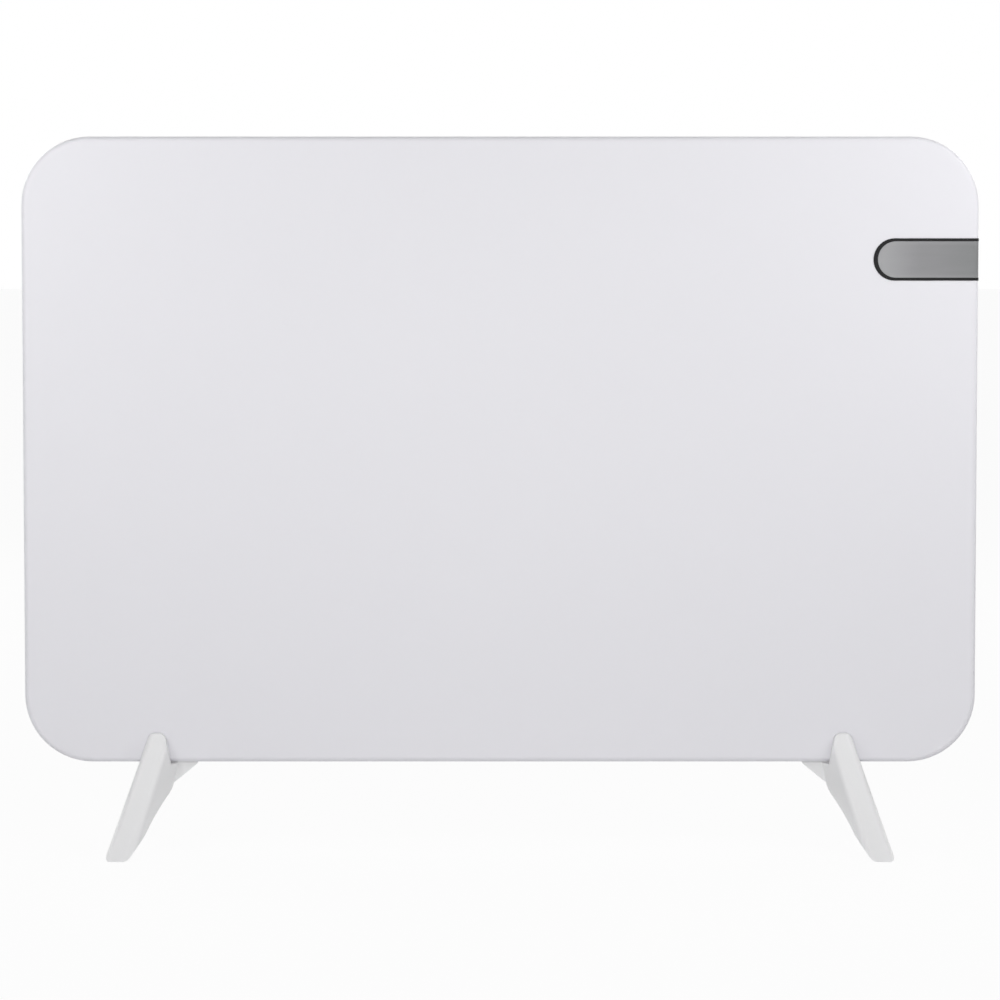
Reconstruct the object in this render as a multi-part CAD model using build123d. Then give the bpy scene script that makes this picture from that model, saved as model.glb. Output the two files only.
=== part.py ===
from build123d import *

import os
from math import radians, tan

# Free-standing infrared panel heater.
# X runs to the right seen from the front, Y runs to the back, Z runs up.
# The origin lies on the floor, under the middle of the panel. All sizes are millimetres.

# Panel casing
PANEL_WIDTH = 914.0
PANEL_HEIGHT = 600.0
PANEL_DEPTH = 27.0
PANEL_BOTTOM = 82.0
CORNER_RADIUS = 65.0
EDGE_ROUNDING = 4.5
TRAY_SHEET = 1.0
TRAY_SETBACK = 0.5
COVER_SHEET = 0.8
COVER_GAP = 0.5

# Places that the casing gives to everything inside it
FACE = -PANEL_DEPTH / 2
BACK = PANEL_DEPTH / 2
RIGHT = PANEL_WIDTH / 2
LEFT = -RIGHT
BOTTOM = PANEL_BOTTOM
TOP = PANEL_BOTTOM + PANEL_HEIGHT
MIDDLE = (BOTTOM + TOP) / 2
SKIN = FACE + TRAY_SHEET
LID = BACK - COVER_SHEET
TRAY_REAR = BACK - TRAY_SETBACK
THROUGH = 1.0

# Control strip let into the right edge
STRIP_LENGTH = 100.4
STRIP_HEIGHT = 40.4
STRIP_DROP = 117.0
STRIP_WRAP = 9.0
STRIP_FIT = 0.1
BEZEL_LINE = 2.8
BEZEL_NOSE = 4.2
BEZEL_PROUD = 0.6
LENS_PROUD = 0.25
LENS_FIT = 0.05
STRIP_Z = TOP - STRIP_DROP
STRIP_RADIUS = STRIP_HEIGHT / 2
STRIP_NOSE_X = RIGHT - STRIP_LENGTH + STRIP_RADIUS

# Control module behind the strip
FLANGE_MARGIN = 5.0
FLANGE_THICKNESS = 1.4
FLANGE_WALL_GAP = 4.7
MODULE_WALL = 1.6
MODULE_DEPTH = 17.0
MODULE_BOARD_FRONT = 6.5
BOARD_THICKNESS = 1.6
BOARD_MARGIN = 0.6
POST_RADIUS = 2.7
POST_INSET = 4.6
MODULE_SCREW_RADIUS = 1.2
MODULE_SCREW_HOLE = 1.35
MODULE_SCREW_HEAD = 2.4
MODULE_SCREW_HEAD_HEIGHT = 1.5
MODULE_SCREW_BITE = 4.0
TAPPED_CLEARANCE = 0.05
DISPLAY_WIDTH = 36.0
DISPLAY_HEIGHT = 16.0
DISPLAY_DEPTH = 4.6
DISPLAY_PLACE = 57.0
TOUCH_PLACES = (18.0, 28.0, 38.0, 48.0)
TOUCH_RADIUS = 3.5
TOUCH_WALL = 0.8
TOUCH_GAP = 0.1
BUZZER_RADIUS = 6.0
BUZZER_DEPTH = 5.5
BUZZER_PLACE = 30.0
CABLE_SOCKET_WIDTH = 12.0
CABLE_SOCKET_HEIGHT = 7.0
CABLE_SOCKET_DEPTH = 5.5
CABLE_PLACE = 48.0

# Heating stack, counted from the back of the front sheet
STACK_MARGIN = 16.0
STACK_CORNER = 50.0
BAY_WIDTH = 122.0
BAY_GAP = 3.0
FILM_THICKNESS = 0.4
BUSBAR_WIDTH = 12.0
BUSBAR_THICKNESS = 0.3
BUSBAR_INSET = 6.0
BUSBAR_END_GAP = 50.0
SHEET_THICKNESS = 0.5
WOOL_THICKNESS = 9.0
FOIL_THICKNESS = 0.2
FILM_BACK = SKIN + FILM_THICKNESS
BUSBAR_BACK = FILM_BACK + BUSBAR_THICKNESS
SHEET_BACK = BUSBAR_BACK + SHEET_THICKNESS
WOOL_BACK = SHEET_BACK + WOOL_THICKNESS
FOIL_BACK = WOOL_BACK + FOIL_THICKNESS
STACK_LEFT = LEFT + STACK_MARGIN
STACK_RIGHT = RIGHT - BAY_WIDTH - BAY_GAP
STACK_BOTTOM = BOTTOM + STACK_MARGIN
STACK_TOP = TOP - STACK_MARGIN

# Posts that carry current from the busbars through the insulation
BUS_POST_RADIUS = 3.0
BUS_POST_HOLE = 5.0
BUS_POST_Z = BOTTOM + 318.0
BUS_POST_HEAD = 4.5
BUS_POST_HEAD_HEIGHT = 2.6
SOLDER_GAP = 0.1

# Rails and straps that hold the heating stack
RAIL_WIDTH = 10.0
RAIL_SHEET = 1.2
RAIL_END_GAP = 70.0
RAIL_GAP = 1.0
STRAP_WIDTH = 20.0
STRAP_THICKNESS = 1.2
STRAP_PLACES = (0.18 * PANEL_HEIGHT, 0.497 * PANEL_HEIGHT, 0.813 * PANEL_HEIGHT)
STRAP_SCREW_RADIUS = 1.95
STRAP_SCREW_HEAD = 3.8
STRAP_SCREW_HEAD_HEIGHT = 2.0
STRAP_SCREW_LENGTH = 6.0

# Thermal cut-outs pressed on the heating film
CUTOUT_PLACES = (-230.0, 180.0)
CUTOUT_Z = BOTTOM + 398.0
CUTOUT_RADIUS = 7.8
CUTOUT_BODY = 6.6
CUTOUT_NECK_RADIUS = 5.5
CUTOUT_HOLE = 9.0
TAB_WIDTH = 6.0
TAB_THICKNESS = 0.8
TAB_REACH = 14.0
TAB_LIFT = 0.9

# Rear cover
COVER_BEAD_LENGTH = 520.0
COVER_BEAD_WIDTH = 16.0
COVER_BEAD_HEIGHT = 1.6
COVER_BEAD_PLACES = (130.0, 300.0, 470.0)
COVER_BEAD_X = -40.0
VENT_LENGTH = 34.0
VENT_WIDTH = 3.0
VENT_PITCH = 8.0
VENT_COUNT = 9
VENT_X = RIGHT - 60.0
VENT_Z = BOTTOM + 176.0
UPPER_VENT_Z = STRIP_Z - 82.0
UPPER_VENT_COUNT = 5
BRACKET_LENGTH = 16.0
BRACKET_REACH = 14.0
BRACKET_HEIGHT = 9.0
BRACKET_SHEET = 1.5
BRACKET_SPACING_X = (-250.0, -90.0, 90.0, 250.0)
BRACKET_LOW_GAP = 9.0
BRACKET_HIGH_GAP = 4.0
BRACKET_SPACING_Z = (
    CORNER_RADIUS + BRACKET_LENGTH / 2 + BRACKET_LOW_GAP - PANEL_HEIGHT / 2,
    10.0,
    118.0,
    PANEL_HEIGHT / 2 - CORNER_RADIUS - BRACKET_LENGTH / 2 - BRACKET_HIGH_GAP,
)
COVER_SCREW_RADIUS = 1.95
COVER_SCREW_HOLE = 2.2
COVER_SCREW_HEAD = 3.7
COVER_SCREW_HEAD_HEIGHT = 2.0
COVER_SCREW_LENGTH = 7.0
BRACKET_SCREW_SETBACK = 8.0

# Fixing plates behind the rear cover
NUT_PLATE_THICKNESS = 3.0
WALL_SPACING_X = 500.0
WALL_SPACING_Z = 300.0
WALL_CENTRE_X = -60.0
WALL_PLATE = 32.0
WALL_THREAD_RADIUS = 3.0
WALL_HOLE_RADIUS = 3.5
FOOT_PLATE_WIDTH = 24.0
FOOT_PLATE_MARGIN = 10.0

# Power supply box in the control bay
BOX_LEFT = RIGHT - 108.0
BOX_RIGHT = RIGHT - 6.0
BOX_BOTTOM = BOTTOM + 112.0
BOX_TOP = BOTTOM + 284.0
BOX_WALL = 1.8
BOX_CORNER = 3.0
BOX_LID = 1.6
BOX_LID_GAP = 0.5
TAPE_THICKNESS = 0.8
TAPE_WIDTH = 14.0
TAPE_INSET = 8.0
STANDOFF_RADIUS = 3.2
STANDOFF_HEIGHT = 3.0
STANDOFF_INSET = 8.0
BOARD_SCREW_RADIUS = 1.4
BOARD_SCREW_HEAD = 2.7
BOARD_SCREW_HEAD_HEIGHT = 1.8
PIECE_HEADROOM = 0.8
BOX_FLOOR = SKIN + TAPE_THICKNESS
BOX_INSIDE = BOX_FLOOR + BOX_WALL
POWER_BOARD_FRONT = BOX_INSIDE + STANDOFF_HEIGHT
POWER_BOARD_BACK = POWER_BOARD_FRONT + BOARD_THICKNESS
BOX_LID_BACK = LID - BOX_LID_GAP
BOX_LID_FRONT = BOX_LID_BACK - BOX_LID
COMPONENT_BACK = BOX_LID_FRONT - PIECE_HEADROOM

# Leads
LEAD_DIAMETER = 2.4
CABLE_DIAMETER = 4.0
LEAD_HOLE_RADIUS = 1.7
CABLE_HOLE_RADIUS = 2.5
ARC_SHARE = 0.45
LEAD_FOIL_GAP = 0.1

# Inlet bracket, terminals, earth stud and gland
BRACKET_LEFT = RIGHT - 110.0
BRACKET_FOOT_END = RIGHT - CORNER_RADIUS
BRACKET_RIGHT = RIGHT - 32.0
BRACKET_PLATE_FRONT = -8.0
BRACKET_PLATE_SHEET = 1.2
BRACKET_FOOT_REACH = 14.0
BRACKET_TOP = BOTTOM + 68.0
BRACKET_EAR_TOP = BOTTOM + 78.0
BRACKET_EAR_LEFT = RIGHT - 69.0
BRACKET_CUT_Z = BOTTOM + 22.0
BRACKET_PLATE_BACK = BRACKET_PLATE_FRONT + BRACKET_PLATE_SHEET
TERMINAL_WIDTH = 30.0
TERMINAL_HEIGHT = 18.0
TERMINAL_DEPTH = 11.0
TERMINAL_LEFT = RIGHT - 106.0
TERMINAL_BOTTOM = BOTTOM + 34.0
TERMINAL_PITCH = 10.0
TERMINAL_BORE = 1.6
TERMINAL_BORE_DEPTH = 7.0
TERMINAL_SCREW_RADIUS = 1.8
TERMINAL_SCREW_DEPTH = 3.0
EARTH_X = RIGHT - 55.0
EARTH_Z = BOTTOM + 70.0
EARTH_STUD_RADIUS = 2.0
EARTH_STUD_LENGTH = 9.0
EARTH_NUT_RADIUS = 3.6
EARTH_NUT_HEIGHT = 3.0
RING_RADIUS = 4.2
RING_THICKNESS = 0.9
RING_NECK = 1.4
RING_BARREL_LENGTH = 8.0
RING_BARREL_RADIUS = 2.0
GLAND_X = RIGHT - 73.0
GLAND_Z = BOTTOM + 21.0
GLAND_BORE = 3.75
GLAND_BODY = 7.8
GLAND_FLANGE = 11.0
GLAND_FLANGE_HEIGHT = 2.5
GLAND_DOME = 9.5
GLAND_DOME_HEIGHT = 6.5
GLAND_INSIDE = 9.0
GLAND_FIT = 0.05
GLAND_NUT_RADIUS = 11.0
GLAND_NUT_HEIGHT = 4.0

# Main rocker switch, worked about an upright axis
SWITCH_X = RIGHT - 85.0
SWITCH_Z = BOTTOM + 90.0
SWITCH_BEZEL_LENGTH = 21.0
SWITCH_BEZEL_HEIGHT = 15.0
SWITCH_BEZEL_DEPTH = 2.0
SWITCH_BODY_LENGTH = 19.0
SWITCH_BODY_HEIGHT = 12.8
SWITCH_BODY_DEPTH = 13.5
SWITCH_FIT = 0.1
SWITCH_WELL_LENGTH = 17.2
SWITCH_WELL_DEPTH = 9.0
SWITCH_WALL = 1.2
ROCKER_LENGTH = 15.6
ROCKER_HEIGHT = 9.8
ROCKER_THROW = 16.0
ROCKER_CROWN = 3.4
ROCKER_SKIRT = 3.0
ROCKER_PIVOT_DEPTH = 3.2
TRUNNION_RADIUS = 1.2
TRUNNION_LENGTH = 0.9
TRUNNION_CLEARANCE = 0.06
SWITCH_BLADE_OFFSET = 5.0
SWITCH_BLADE_WIDTH = 4.8
SWITCH_BLADE_THICKNESS = 0.8
SWITCH_BLADE_LENGTH = 6.0
CONNECTOR_WIDTH = 6.4
CONNECTOR_HEIGHT = 7.0
CONNECTOR_DEPTH = 4.4
CONNECTOR_BARREL = 6.0
CONNECTOR_BARREL_RADIUS = 1.8
CONNECTOR_FIT = 0.02

# Tip-over switch
TILT_LEFT = RIGHT - 58.0
TILT_WIDTH = 18.0
TILT_BOTTOM = BOTTOM + 26.0
TILT_HEIGHT = 34.0
TILT_WALL = 1.5
TILT_LID = 1.5
TILT_DEPTH = 18.6
TILT_PIVOT_DROP = 7.0
TILT_PIN_RADIUS = 1.2
TILT_PIN_CLEARANCE = 0.06
TILT_EYE_RADIUS = 3.0
TILT_ROD_RADIUS = 1.0
TILT_ARM = 14.0
TILT_BOB_RADIUS = 2.8
TILT_BOB_HEIGHT = 5.5
TILT_EYE_GAP = 0.3
TILT_LEAD_OFFSET = 4.0

# Room temperature sensor
SENSOR_Z = BOTTOM + 338.0
SENSOR_HOLDER_WIDTH = 8.0
SENSOR_HOLDER_HEIGHT = 22.0
SENSOR_HOLDER_DEPTH = 9.0
SENSOR_RADIUS = 2.5
SENSOR_FIT = 0.05

# Feet, seen as the right one, with X growing outwards
TOE_REACH = 110.0
LEG_RAKE = 0.95
LEG_HOLLOW = 0.0014
TOE_OUTER = 373.0
OUTER_SPLAY = 0.328
TOE_RIDGE = 344.2
RIDGE_SPLAY = 0.239
REAR_TUCK = 5.0
FLARE = 14.4
FLARE_SWELL = 0.75
FLARE_HEIGHT = 60.0
FINGER_HEIGHT = 28.4
FINGER_TOP_INNER = 322.0
FINGER_ROOT_INNER = 316.4
FINGER_TOP_ROUNDING = 6.9
TOE_OUTER_ROUNDING = 4.0
TOE_INNER = 351.0
TOE_KNEE = (335.5, 21.5)
TOE_INNER_ROUNDING = 9.0
LEG_EDGE_ROUNDING = 6.5
ARCH_HALF_WIDTH = 84.0
ARCH_HEIGHT = 62.0
ARCH_ROUNDING = 26.0
SLOT_PAD = 1.0
GUSSET_TIP = 291.7
GUSSET_LOW_X = 316.0
GUSSET_LOW_Z = 60.0
GUSSET_SAG = (302.4, 70.8)
GUSSET_FRONT = 5.0
GUSSET_TIP_DEPTH = 1.2
FOOT_BACK_PLATE = 6.0
FOOT_BACK_TOP = 76.0
FOOT_BACK_INNER = 296.0
FOOT_BACK_OUTER = 338.0
FOOT_BACK_ROUNDING = 9.0
FOOT_SCREW_X = 317.0
FOOT_SCREW_HEIGHTS = (42.0, 62.0)
FOOT_SCREW_RADIUS = 2.45
FOOT_SCREW_HOLE = 2.8
FOOT_SCREW_HEAD = 4.6
FOOT_SCREW_HEAD_HEIGHT = 2.8
FOOT_SCREW_LENGTH = 11.0
FLOOR_PAD_THICKNESS = 1.5
FLOOR_PAD_INSET = 2.5
FLOOR_PAD_INNER = 356.5
FLOOR_PAD_OUTER = 366.5
FLOOR_PAD_LENGTH = 18.0


def block(x_from, x_to, y_from, y_to, z_from, z_to):
    """Rectangular solid between two corners."""
    centre = Pos((x_from + x_to) / 2, (y_from + y_to) / 2, (z_from + z_to) / 2)
    return centre * Box(x_to - x_from, y_to - y_from, z_to - z_from)


def slab(outline, y_from, y_to):
    """Solid of an outline drawn in front-view X and Z, between two depths."""
    plane = Plane(origin=(0, y_to, 0), x_dir=(1, 0, 0), z_dir=(0, -1, 0))
    return extrude(plane * outline, amount=y_to - y_from, dir=(0, -1, 0))


def rod_y(x, z, y_from, y_to, radius):
    """Round rod that runs front to back."""
    return Pos(x, (y_from + y_to) / 2, z) * Rot(90, 0, 0) * Cylinder(radius, y_to - y_from)


def rod_x(y, z, x_from, x_to, radius):
    """Round rod that runs left to right."""
    return Pos((x_from + x_to) / 2, y, z) * Rot(0, 90, 0) * Cylinder(radius, x_to - x_from)


def rod_z(x, y, z_from, z_to, radius):
    """Round rod that stands upright."""
    return Pos(x, y, (z_from + z_to) / 2) * Cylinder(radius, z_to - z_from)


def panel_outline(inset):
    """Front view of the panel, drawn in by an inset."""
    width = PANEL_WIDTH - 2 * inset
    height = PANEL_HEIGHT - 2 * inset
    return Pos(0, MIDDLE) * RectangleRounded(width, height, CORNER_RADIUS - inset)


def strip_outline(inset, nose_inset):
    """Front view of the control strip, round at its left end and open past the right edge."""
    radius = STRIP_RADIUS - inset
    nose_x = STRIP_NOSE_X + nose_inset - inset
    straight = RIGHT + EDGE_ROUNDING - nose_x
    bar = Pos(nose_x + straight / 2, STRIP_Z) * Rectangle(straight, 2 * radius)
    return bar + Pos(nose_x, STRIP_Z) * Circle(radius)


def front_panel():
    """Folded steel tray whose face radiates the heat."""
    outer = slab(panel_outline(0), FACE, TRAY_REAR)
    outer = fillet(outer.faces().sort_by(Axis.Y)[0].edges(), EDGE_ROUNDING)
    inner = slab(panel_outline(TRAY_SHEET), SKIN, TRAY_REAR + THROUGH)
    inner = fillet(inner.faces().sort_by(Axis.Y)[0].edges(), EDGE_ROUNDING - TRAY_SHEET)
    opening = slab(strip_outline(0, 0), FACE - THROUGH, FACE + STRIP_WRAP)
    return outer - inner - opening


def strip_shell(proud, inset, nose_inset):
    """L-shaped shell that covers the strip's opening and turns down the panel's side."""
    outline = strip_outline(inset, nose_inset)
    side = RIGHT + proud
    front = FACE - proud
    whole = slab(outline, front, FACE + STRIP_WRAP - STRIP_FIT)
    whole = whole & block(LEFT, side, front, BACK, BOTTOM, TOP)
    corner = whole.edges().filter_by(Axis.Z).sort_by(Axis.X)[-2:].sort_by(Axis.Y)[0]
    whole = fillet(corner, EDGE_ROUNDING + proud)
    hollow = block(LEFT, RIGHT - TRAY_SHEET, SKIN, BACK, BOTTOM, TOP)
    turn = hollow.edges().filter_by(Axis.Z).sort_by(Axis.X)[-2:].sort_by(Axis.Y)[0]
    return whole - fillet(turn, EDGE_ROUNDING - TRAY_SHEET)


MODULE_LEFT = RIGHT - STRIP_LENGTH - FLANGE_MARGIN
MODULE_RIGHT = RIGHT - FLANGE_WALL_GAP
MODULE_LOW = STRIP_Z - STRIP_RADIUS - FLANGE_MARGIN
MODULE_HIGH = STRIP_Z + STRIP_RADIUS + FLANGE_MARGIN
MODULE_FRONT = SKIN + FLANGE_THICKNESS
MODULE_BACK = SKIN + MODULE_DEPTH
DISPLAY_BOARD_FRONT = SKIN + MODULE_BOARD_FRONT
DISPLAY_BOARD_BACK = DISPLAY_BOARD_FRONT + BOARD_THICKNESS


def module_posts():
    """Places of the four posts at the corners of the control module."""
    wide = (MODULE_LEFT + POST_INSET, MODULE_RIGHT - POST_INSET)
    tall = (MODULE_LOW + POST_INSET, MODULE_HIGH - POST_INSET)
    return [(x, z) for x in wide for z in tall]


def control_bezel():
    """Glossy outline of the strip, with the flange and posts that carry the module."""
    ring = strip_shell(BEZEL_PROUD, STRIP_FIT, STRIP_FIT)
    window = slab(strip_outline(BEZEL_LINE, BEZEL_NOSE), FACE - BEZEL_PROUD - THROUGH, BACK)
    ring = ring - window
    flange = block(MODULE_LEFT, MODULE_RIGHT, SKIN, MODULE_FRONT, MODULE_LOW, MODULE_HIGH)
    flange = flange - slab(strip_outline(BEZEL_LINE + 1, BEZEL_NOSE + 1), FACE, BACK)
    body = ring + flange
    for x, z in module_posts():
        body += rod_y(x, z, MODULE_FRONT, DISPLAY_BOARD_FRONT, POST_RADIUS)
        bite = MODULE_SCREW_RADIUS + TAPPED_CLEARANCE
        body -= rod_y(x, z, DISPLAY_BOARD_FRONT - MODULE_SCREW_BITE, DISPLAY_BOARD_FRONT, bite)
    return body


def control_lens():
    """Grey dead-front lens inside the bezel."""
    inset = BEZEL_LINE + LENS_FIT
    return strip_shell(LENS_PROUD, inset, BEZEL_NOSE + LENS_FIT)


def display_housing():
    """Cup that closes the control module at the back."""
    cup = block(MODULE_LEFT, MODULE_RIGHT, MODULE_FRONT, MODULE_BACK, MODULE_LOW, MODULE_HIGH)
    cup -= block(
        MODULE_LEFT + MODULE_WALL,
        MODULE_RIGHT - MODULE_WALL,
        MODULE_FRONT,
        MODULE_BACK - MODULE_WALL,
        MODULE_LOW + MODULE_WALL,
        MODULE_HIGH - MODULE_WALL,
    )
    for x, z in module_posts():
        cup += rod_y(x, z, DISPLAY_BOARD_BACK, MODULE_BACK - MODULE_WALL, POST_RADIUS)
        cup -= rod_y(x, z, DISPLAY_BOARD_BACK, MODULE_BACK, MODULE_SCREW_HOLE)
    cable_y = DISPLAY_BOARD_BACK + CABLE_SOCKET_DEPTH / 2
    cup -= rod_z(MODULE_LEFT + CABLE_PLACE, cable_y, MODULE_LOW, MODULE_LOW + MODULE_WALL, CABLE_HOLE_RADIUS)
    return cup


def display_board():
    """Circuit board of the display and touch keys."""
    gap = MODULE_WALL + BOARD_MARGIN
    board = block(
        MODULE_LEFT + gap,
        MODULE_RIGHT - gap,
        DISPLAY_BOARD_FRONT,
        DISPLAY_BOARD_BACK,
        MODULE_LOW + gap,
        MODULE_HIGH - gap,
    )
    for x, z in module_posts():
        board -= rod_y(x, z, DISPLAY_BOARD_FRONT, DISPLAY_BOARD_BACK, MODULE_SCREW_HOLE)
    return board


def display_screws():
    """Four screws that hold the cup and the board on the bezel's posts."""
    screws = []
    for x, z in module_posts():
        tip = DISPLAY_BOARD_FRONT - MODULE_SCREW_BITE + TAPPED_CLEARANCE
        shank = rod_y(x, z, tip, MODULE_BACK, MODULE_SCREW_RADIUS)
        head = rod_y(x, z, MODULE_BACK, MODULE_BACK + MODULE_SCREW_HEAD_HEIGHT, MODULE_SCREW_HEAD)
        screws.append(shank + head)
    return screws


def led_display():
    """Digit module that shines through the lens."""
    x = MODULE_LEFT + DISPLAY_PLACE
    front = DISPLAY_BOARD_FRONT - DISPLAY_DEPTH
    half = DISPLAY_HEIGHT / 2
    low = STRIP_Z - half
    return block(x, x + DISPLAY_WIDTH, front, DISPLAY_BOARD_FRONT, low, low + DISPLAY_HEIGHT)


def touch_springs():
    """Sprung sleeves that carry the touch signal from the lens to the board."""
    sleeves = []
    for place in TOUCH_PLACES:
        x = MODULE_LEFT + place
        sleeve = rod_y(x, STRIP_Z, SKIN + TOUCH_GAP, DISPLAY_BOARD_FRONT, TOUCH_RADIUS)
        sleeve -= rod_y(x, STRIP_Z, SKIN, DISPLAY_BOARD_FRONT, TOUCH_RADIUS - TOUCH_WALL)
        sleeves.append(sleeve)
    return sleeves


def buzzer():
    """Round sounder on the back of the display board."""
    x = MODULE_LEFT + BUZZER_PLACE
    return rod_y(x, STRIP_Z, DISPLAY_BOARD_BACK, DISPLAY_BOARD_BACK + BUZZER_DEPTH, BUZZER_RADIUS)


def stack_outline(inset):
    """Front view of the heating stack, square towards the control bay."""
    width = STACK_RIGHT - STACK_LEFT - 2 * inset
    height = STACK_TOP - STACK_BOTTOM - 2 * inset
    middle = (STACK_LEFT + STACK_RIGHT) / 2
    return Pos(middle, MIDDLE) * RectangleRounded(width, height, STACK_CORNER - inset)


def busbar_x():
    """Middle lines of the two busbars."""
    reach = BUSBAR_INSET + BUSBAR_WIDTH / 2
    return (STACK_LEFT + reach, STACK_RIGHT - reach)


def heating_film():
    """Thin heating film bonded to the back of the front sheet."""
    return slab(stack_outline(0), SKIN, FILM_BACK)


def busbars():
    """Copper strips that feed the film at both ends."""
    strips = []
    half = BUSBAR_WIDTH / 2
    for x in busbar_x():
        low = STACK_BOTTOM + BUSBAR_END_GAP
        high = STACK_TOP - BUSBAR_END_GAP
        strips.append(block(x - half, x + half, FILM_BACK, BUSBAR_BACK, low, high))
    return strips


def stack_holes(y_from, y_to):
    """Passages through the stack for the busbar posts and the cut-outs."""
    holes = [rod_y(x, BUS_POST_Z, y_from, y_to, BUS_POST_HOLE) for x in busbar_x()]
    holes += [rod_y(x, CUTOUT_Z, y_from, y_to, CUTOUT_HOLE) for x in CUTOUT_PLACES]
    return holes


def insulating_sheet():
    """Mica sheet that keeps the live film apart from the cut-outs and the wool."""
    sheet = slab(stack_outline(0), BUSBAR_BACK, SHEET_BACK)
    for x in busbar_x():
        sheet -= rod_y(x, BUS_POST_Z, BUSBAR_BACK, SHEET_BACK, BUS_POST_RADIUS + LEAD_FOIL_GAP)
    return sheet


def insulation_board():
    """Mineral wool board that keeps the heat to the front."""
    board = slab(stack_outline(0), SHEET_BACK, WOOL_BACK)
    for hole in stack_holes(SHEET_BACK, WOOL_BACK):
        board -= hole
    return board


def reflector_foil():
    """Aluminium facing on the back of the wool."""
    foil = slab(stack_outline(0), WOOL_BACK, FOIL_BACK)
    for hole in stack_holes(WOOL_BACK, FOIL_BACK):
        foil -= hole
    return foil


def busbar_posts():
    """Brass posts that stand on the busbars and take the element leads."""
    posts = []
    for x in busbar_x():
        post = rod_y(x, BUS_POST_Z, BUSBAR_BACK, FOIL_BACK, BUS_POST_RADIUS)
        post += rod_y(x, BUS_POST_Z, FOIL_BACK, FOIL_BACK + BUS_POST_HEAD_HEIGHT, BUS_POST_HEAD)
        posts.append(post)
    return posts


def rail_places():
    """Outer edge of each rail and the direction in which its flanges point."""
    return ((STACK_LEFT - RAIL_GAP, -1), (STACK_RIGHT + RAIL_GAP, 1))


def side_rails():
    """Two steel channels beside the stack that the straps are screwed to."""
    rails = []
    for x, side in rail_places():
        low = STACK_BOTTOM + RAIL_END_GAP
        high = STACK_TOP - RAIL_END_GAP
        ends = sorted((x, x + side * RAIL_WIDTH))
        web = sorted((x, x + side * RAIL_SHEET))
        rail = block(*web, SKIN, FOIL_BACK, low, high)
        rail += block(*ends, SKIN, SKIN + RAIL_SHEET, low, high)
        rail += block(*ends, FOIL_BACK - RAIL_SHEET, FOIL_BACK, low, high)
        for place in STRAP_PLACES:
            middle = x + side * RAIL_WIDTH / 2
            radius = STRAP_SCREW_RADIUS + TAPPED_CLEARANCE
            rail -= rod_y(middle, BOTTOM + place, FOIL_BACK - RAIL_SHEET, FOIL_BACK, radius)
        rails.append(rail)
    return rails


def retaining_straps():
    """Flat steel straps that press the stack on the front sheet."""
    straps = []
    strap_back = FOIL_BACK + STRAP_THICKNESS
    left = STACK_LEFT - RAIL_GAP - RAIL_WIDTH
    right = STACK_RIGHT + RAIL_GAP + RAIL_WIDTH
    for place in STRAP_PLACES:
        z = BOTTOM + place
        strap = block(left, right, FOIL_BACK, strap_back, z - STRAP_WIDTH / 2, z + STRAP_WIDTH / 2)
        for x, side in rail_places():
            middle = x + side * RAIL_WIDTH / 2
            radius = STRAP_SCREW_RADIUS + TAPPED_CLEARANCE
            strap -= rod_y(middle, z, FOIL_BACK, strap_back, radius)
        straps.append(strap)
    return straps


def strap_screws():
    """Screws that pull each strap down on both rails."""
    screws = []
    seat = FOIL_BACK + STRAP_THICKNESS
    for place in STRAP_PLACES:
        for x, side in rail_places():
            middle = x + side * RAIL_WIDTH / 2
            z = BOTTOM + place
            shank = rod_y(middle, z, seat - STRAP_SCREW_LENGTH, seat, STRAP_SCREW_RADIUS)
            head = rod_y(middle, z, seat, seat + STRAP_SCREW_HEAD_HEIGHT, STRAP_SCREW_HEAD)
            screws.append(shank + head)
    return screws


TAB_FRONT = FOIL_BACK + TAB_LIFT
TAB_BACK = TAB_FRONT + TAB_THICKNESS
TAB_MIDDLE = (TAB_FRONT + TAB_BACK) / 2


def thermal_cutouts():
    """Two disc thermostats in series that open when the film runs too hot."""
    cutouts = []
    for x in CUTOUT_PLACES:
        body = rod_y(x, CUTOUT_Z, SHEET_BACK, SHEET_BACK + CUTOUT_BODY, CUTOUT_RADIUS)
        body += rod_y(x, CUTOUT_Z, SHEET_BACK + CUTOUT_BODY, TAB_FRONT, CUTOUT_NECK_RADIUS)
        half = TAB_WIDTH / 2
        body += block(x - TAB_REACH, x + TAB_REACH, TAB_FRONT, TAB_BACK, CUTOUT_Z - half, CUTOUT_Z + half)
        cutouts.append(body)
    return cutouts


def bracket_places():
    """Middle of each cover bracket on the tray's wall, and its direction inwards."""
    places = []
    for x in BRACKET_SPACING_X:
        places.append((x, BOTTOM + TRAY_SHEET, 0, 1))
        places.append((x, TOP - TRAY_SHEET, 0, -1))
    for z in BRACKET_SPACING_Z:
        places.append((LEFT + TRAY_SHEET, MIDDLE + z, 1, 0))
        places.append((RIGHT - TRAY_SHEET, MIDDLE + z, -1, 0))
    return places


def bracket_screw(place):
    """Screw place of a cover bracket."""
    x, z, inward_x, inward_z = place
    return (x + inward_x * BRACKET_SCREW_SETBACK, z + inward_z * BRACKET_SCREW_SETBACK)


def bracket_plate(place, depth, y_from, y_to):
    """Plate of a bracket that reaches inwards from the wall by a depth."""
    x, z, inward_x, inward_z = place
    half = BRACKET_LENGTH / 2
    if inward_z:
        span_z = sorted((z, z + inward_z * depth))
        return block(x - half, x + half, y_from, y_to, *span_z)
    span_x = sorted((x, x + inward_x * depth))
    return block(*span_x, y_from, y_to, z - half, z + half)


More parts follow.
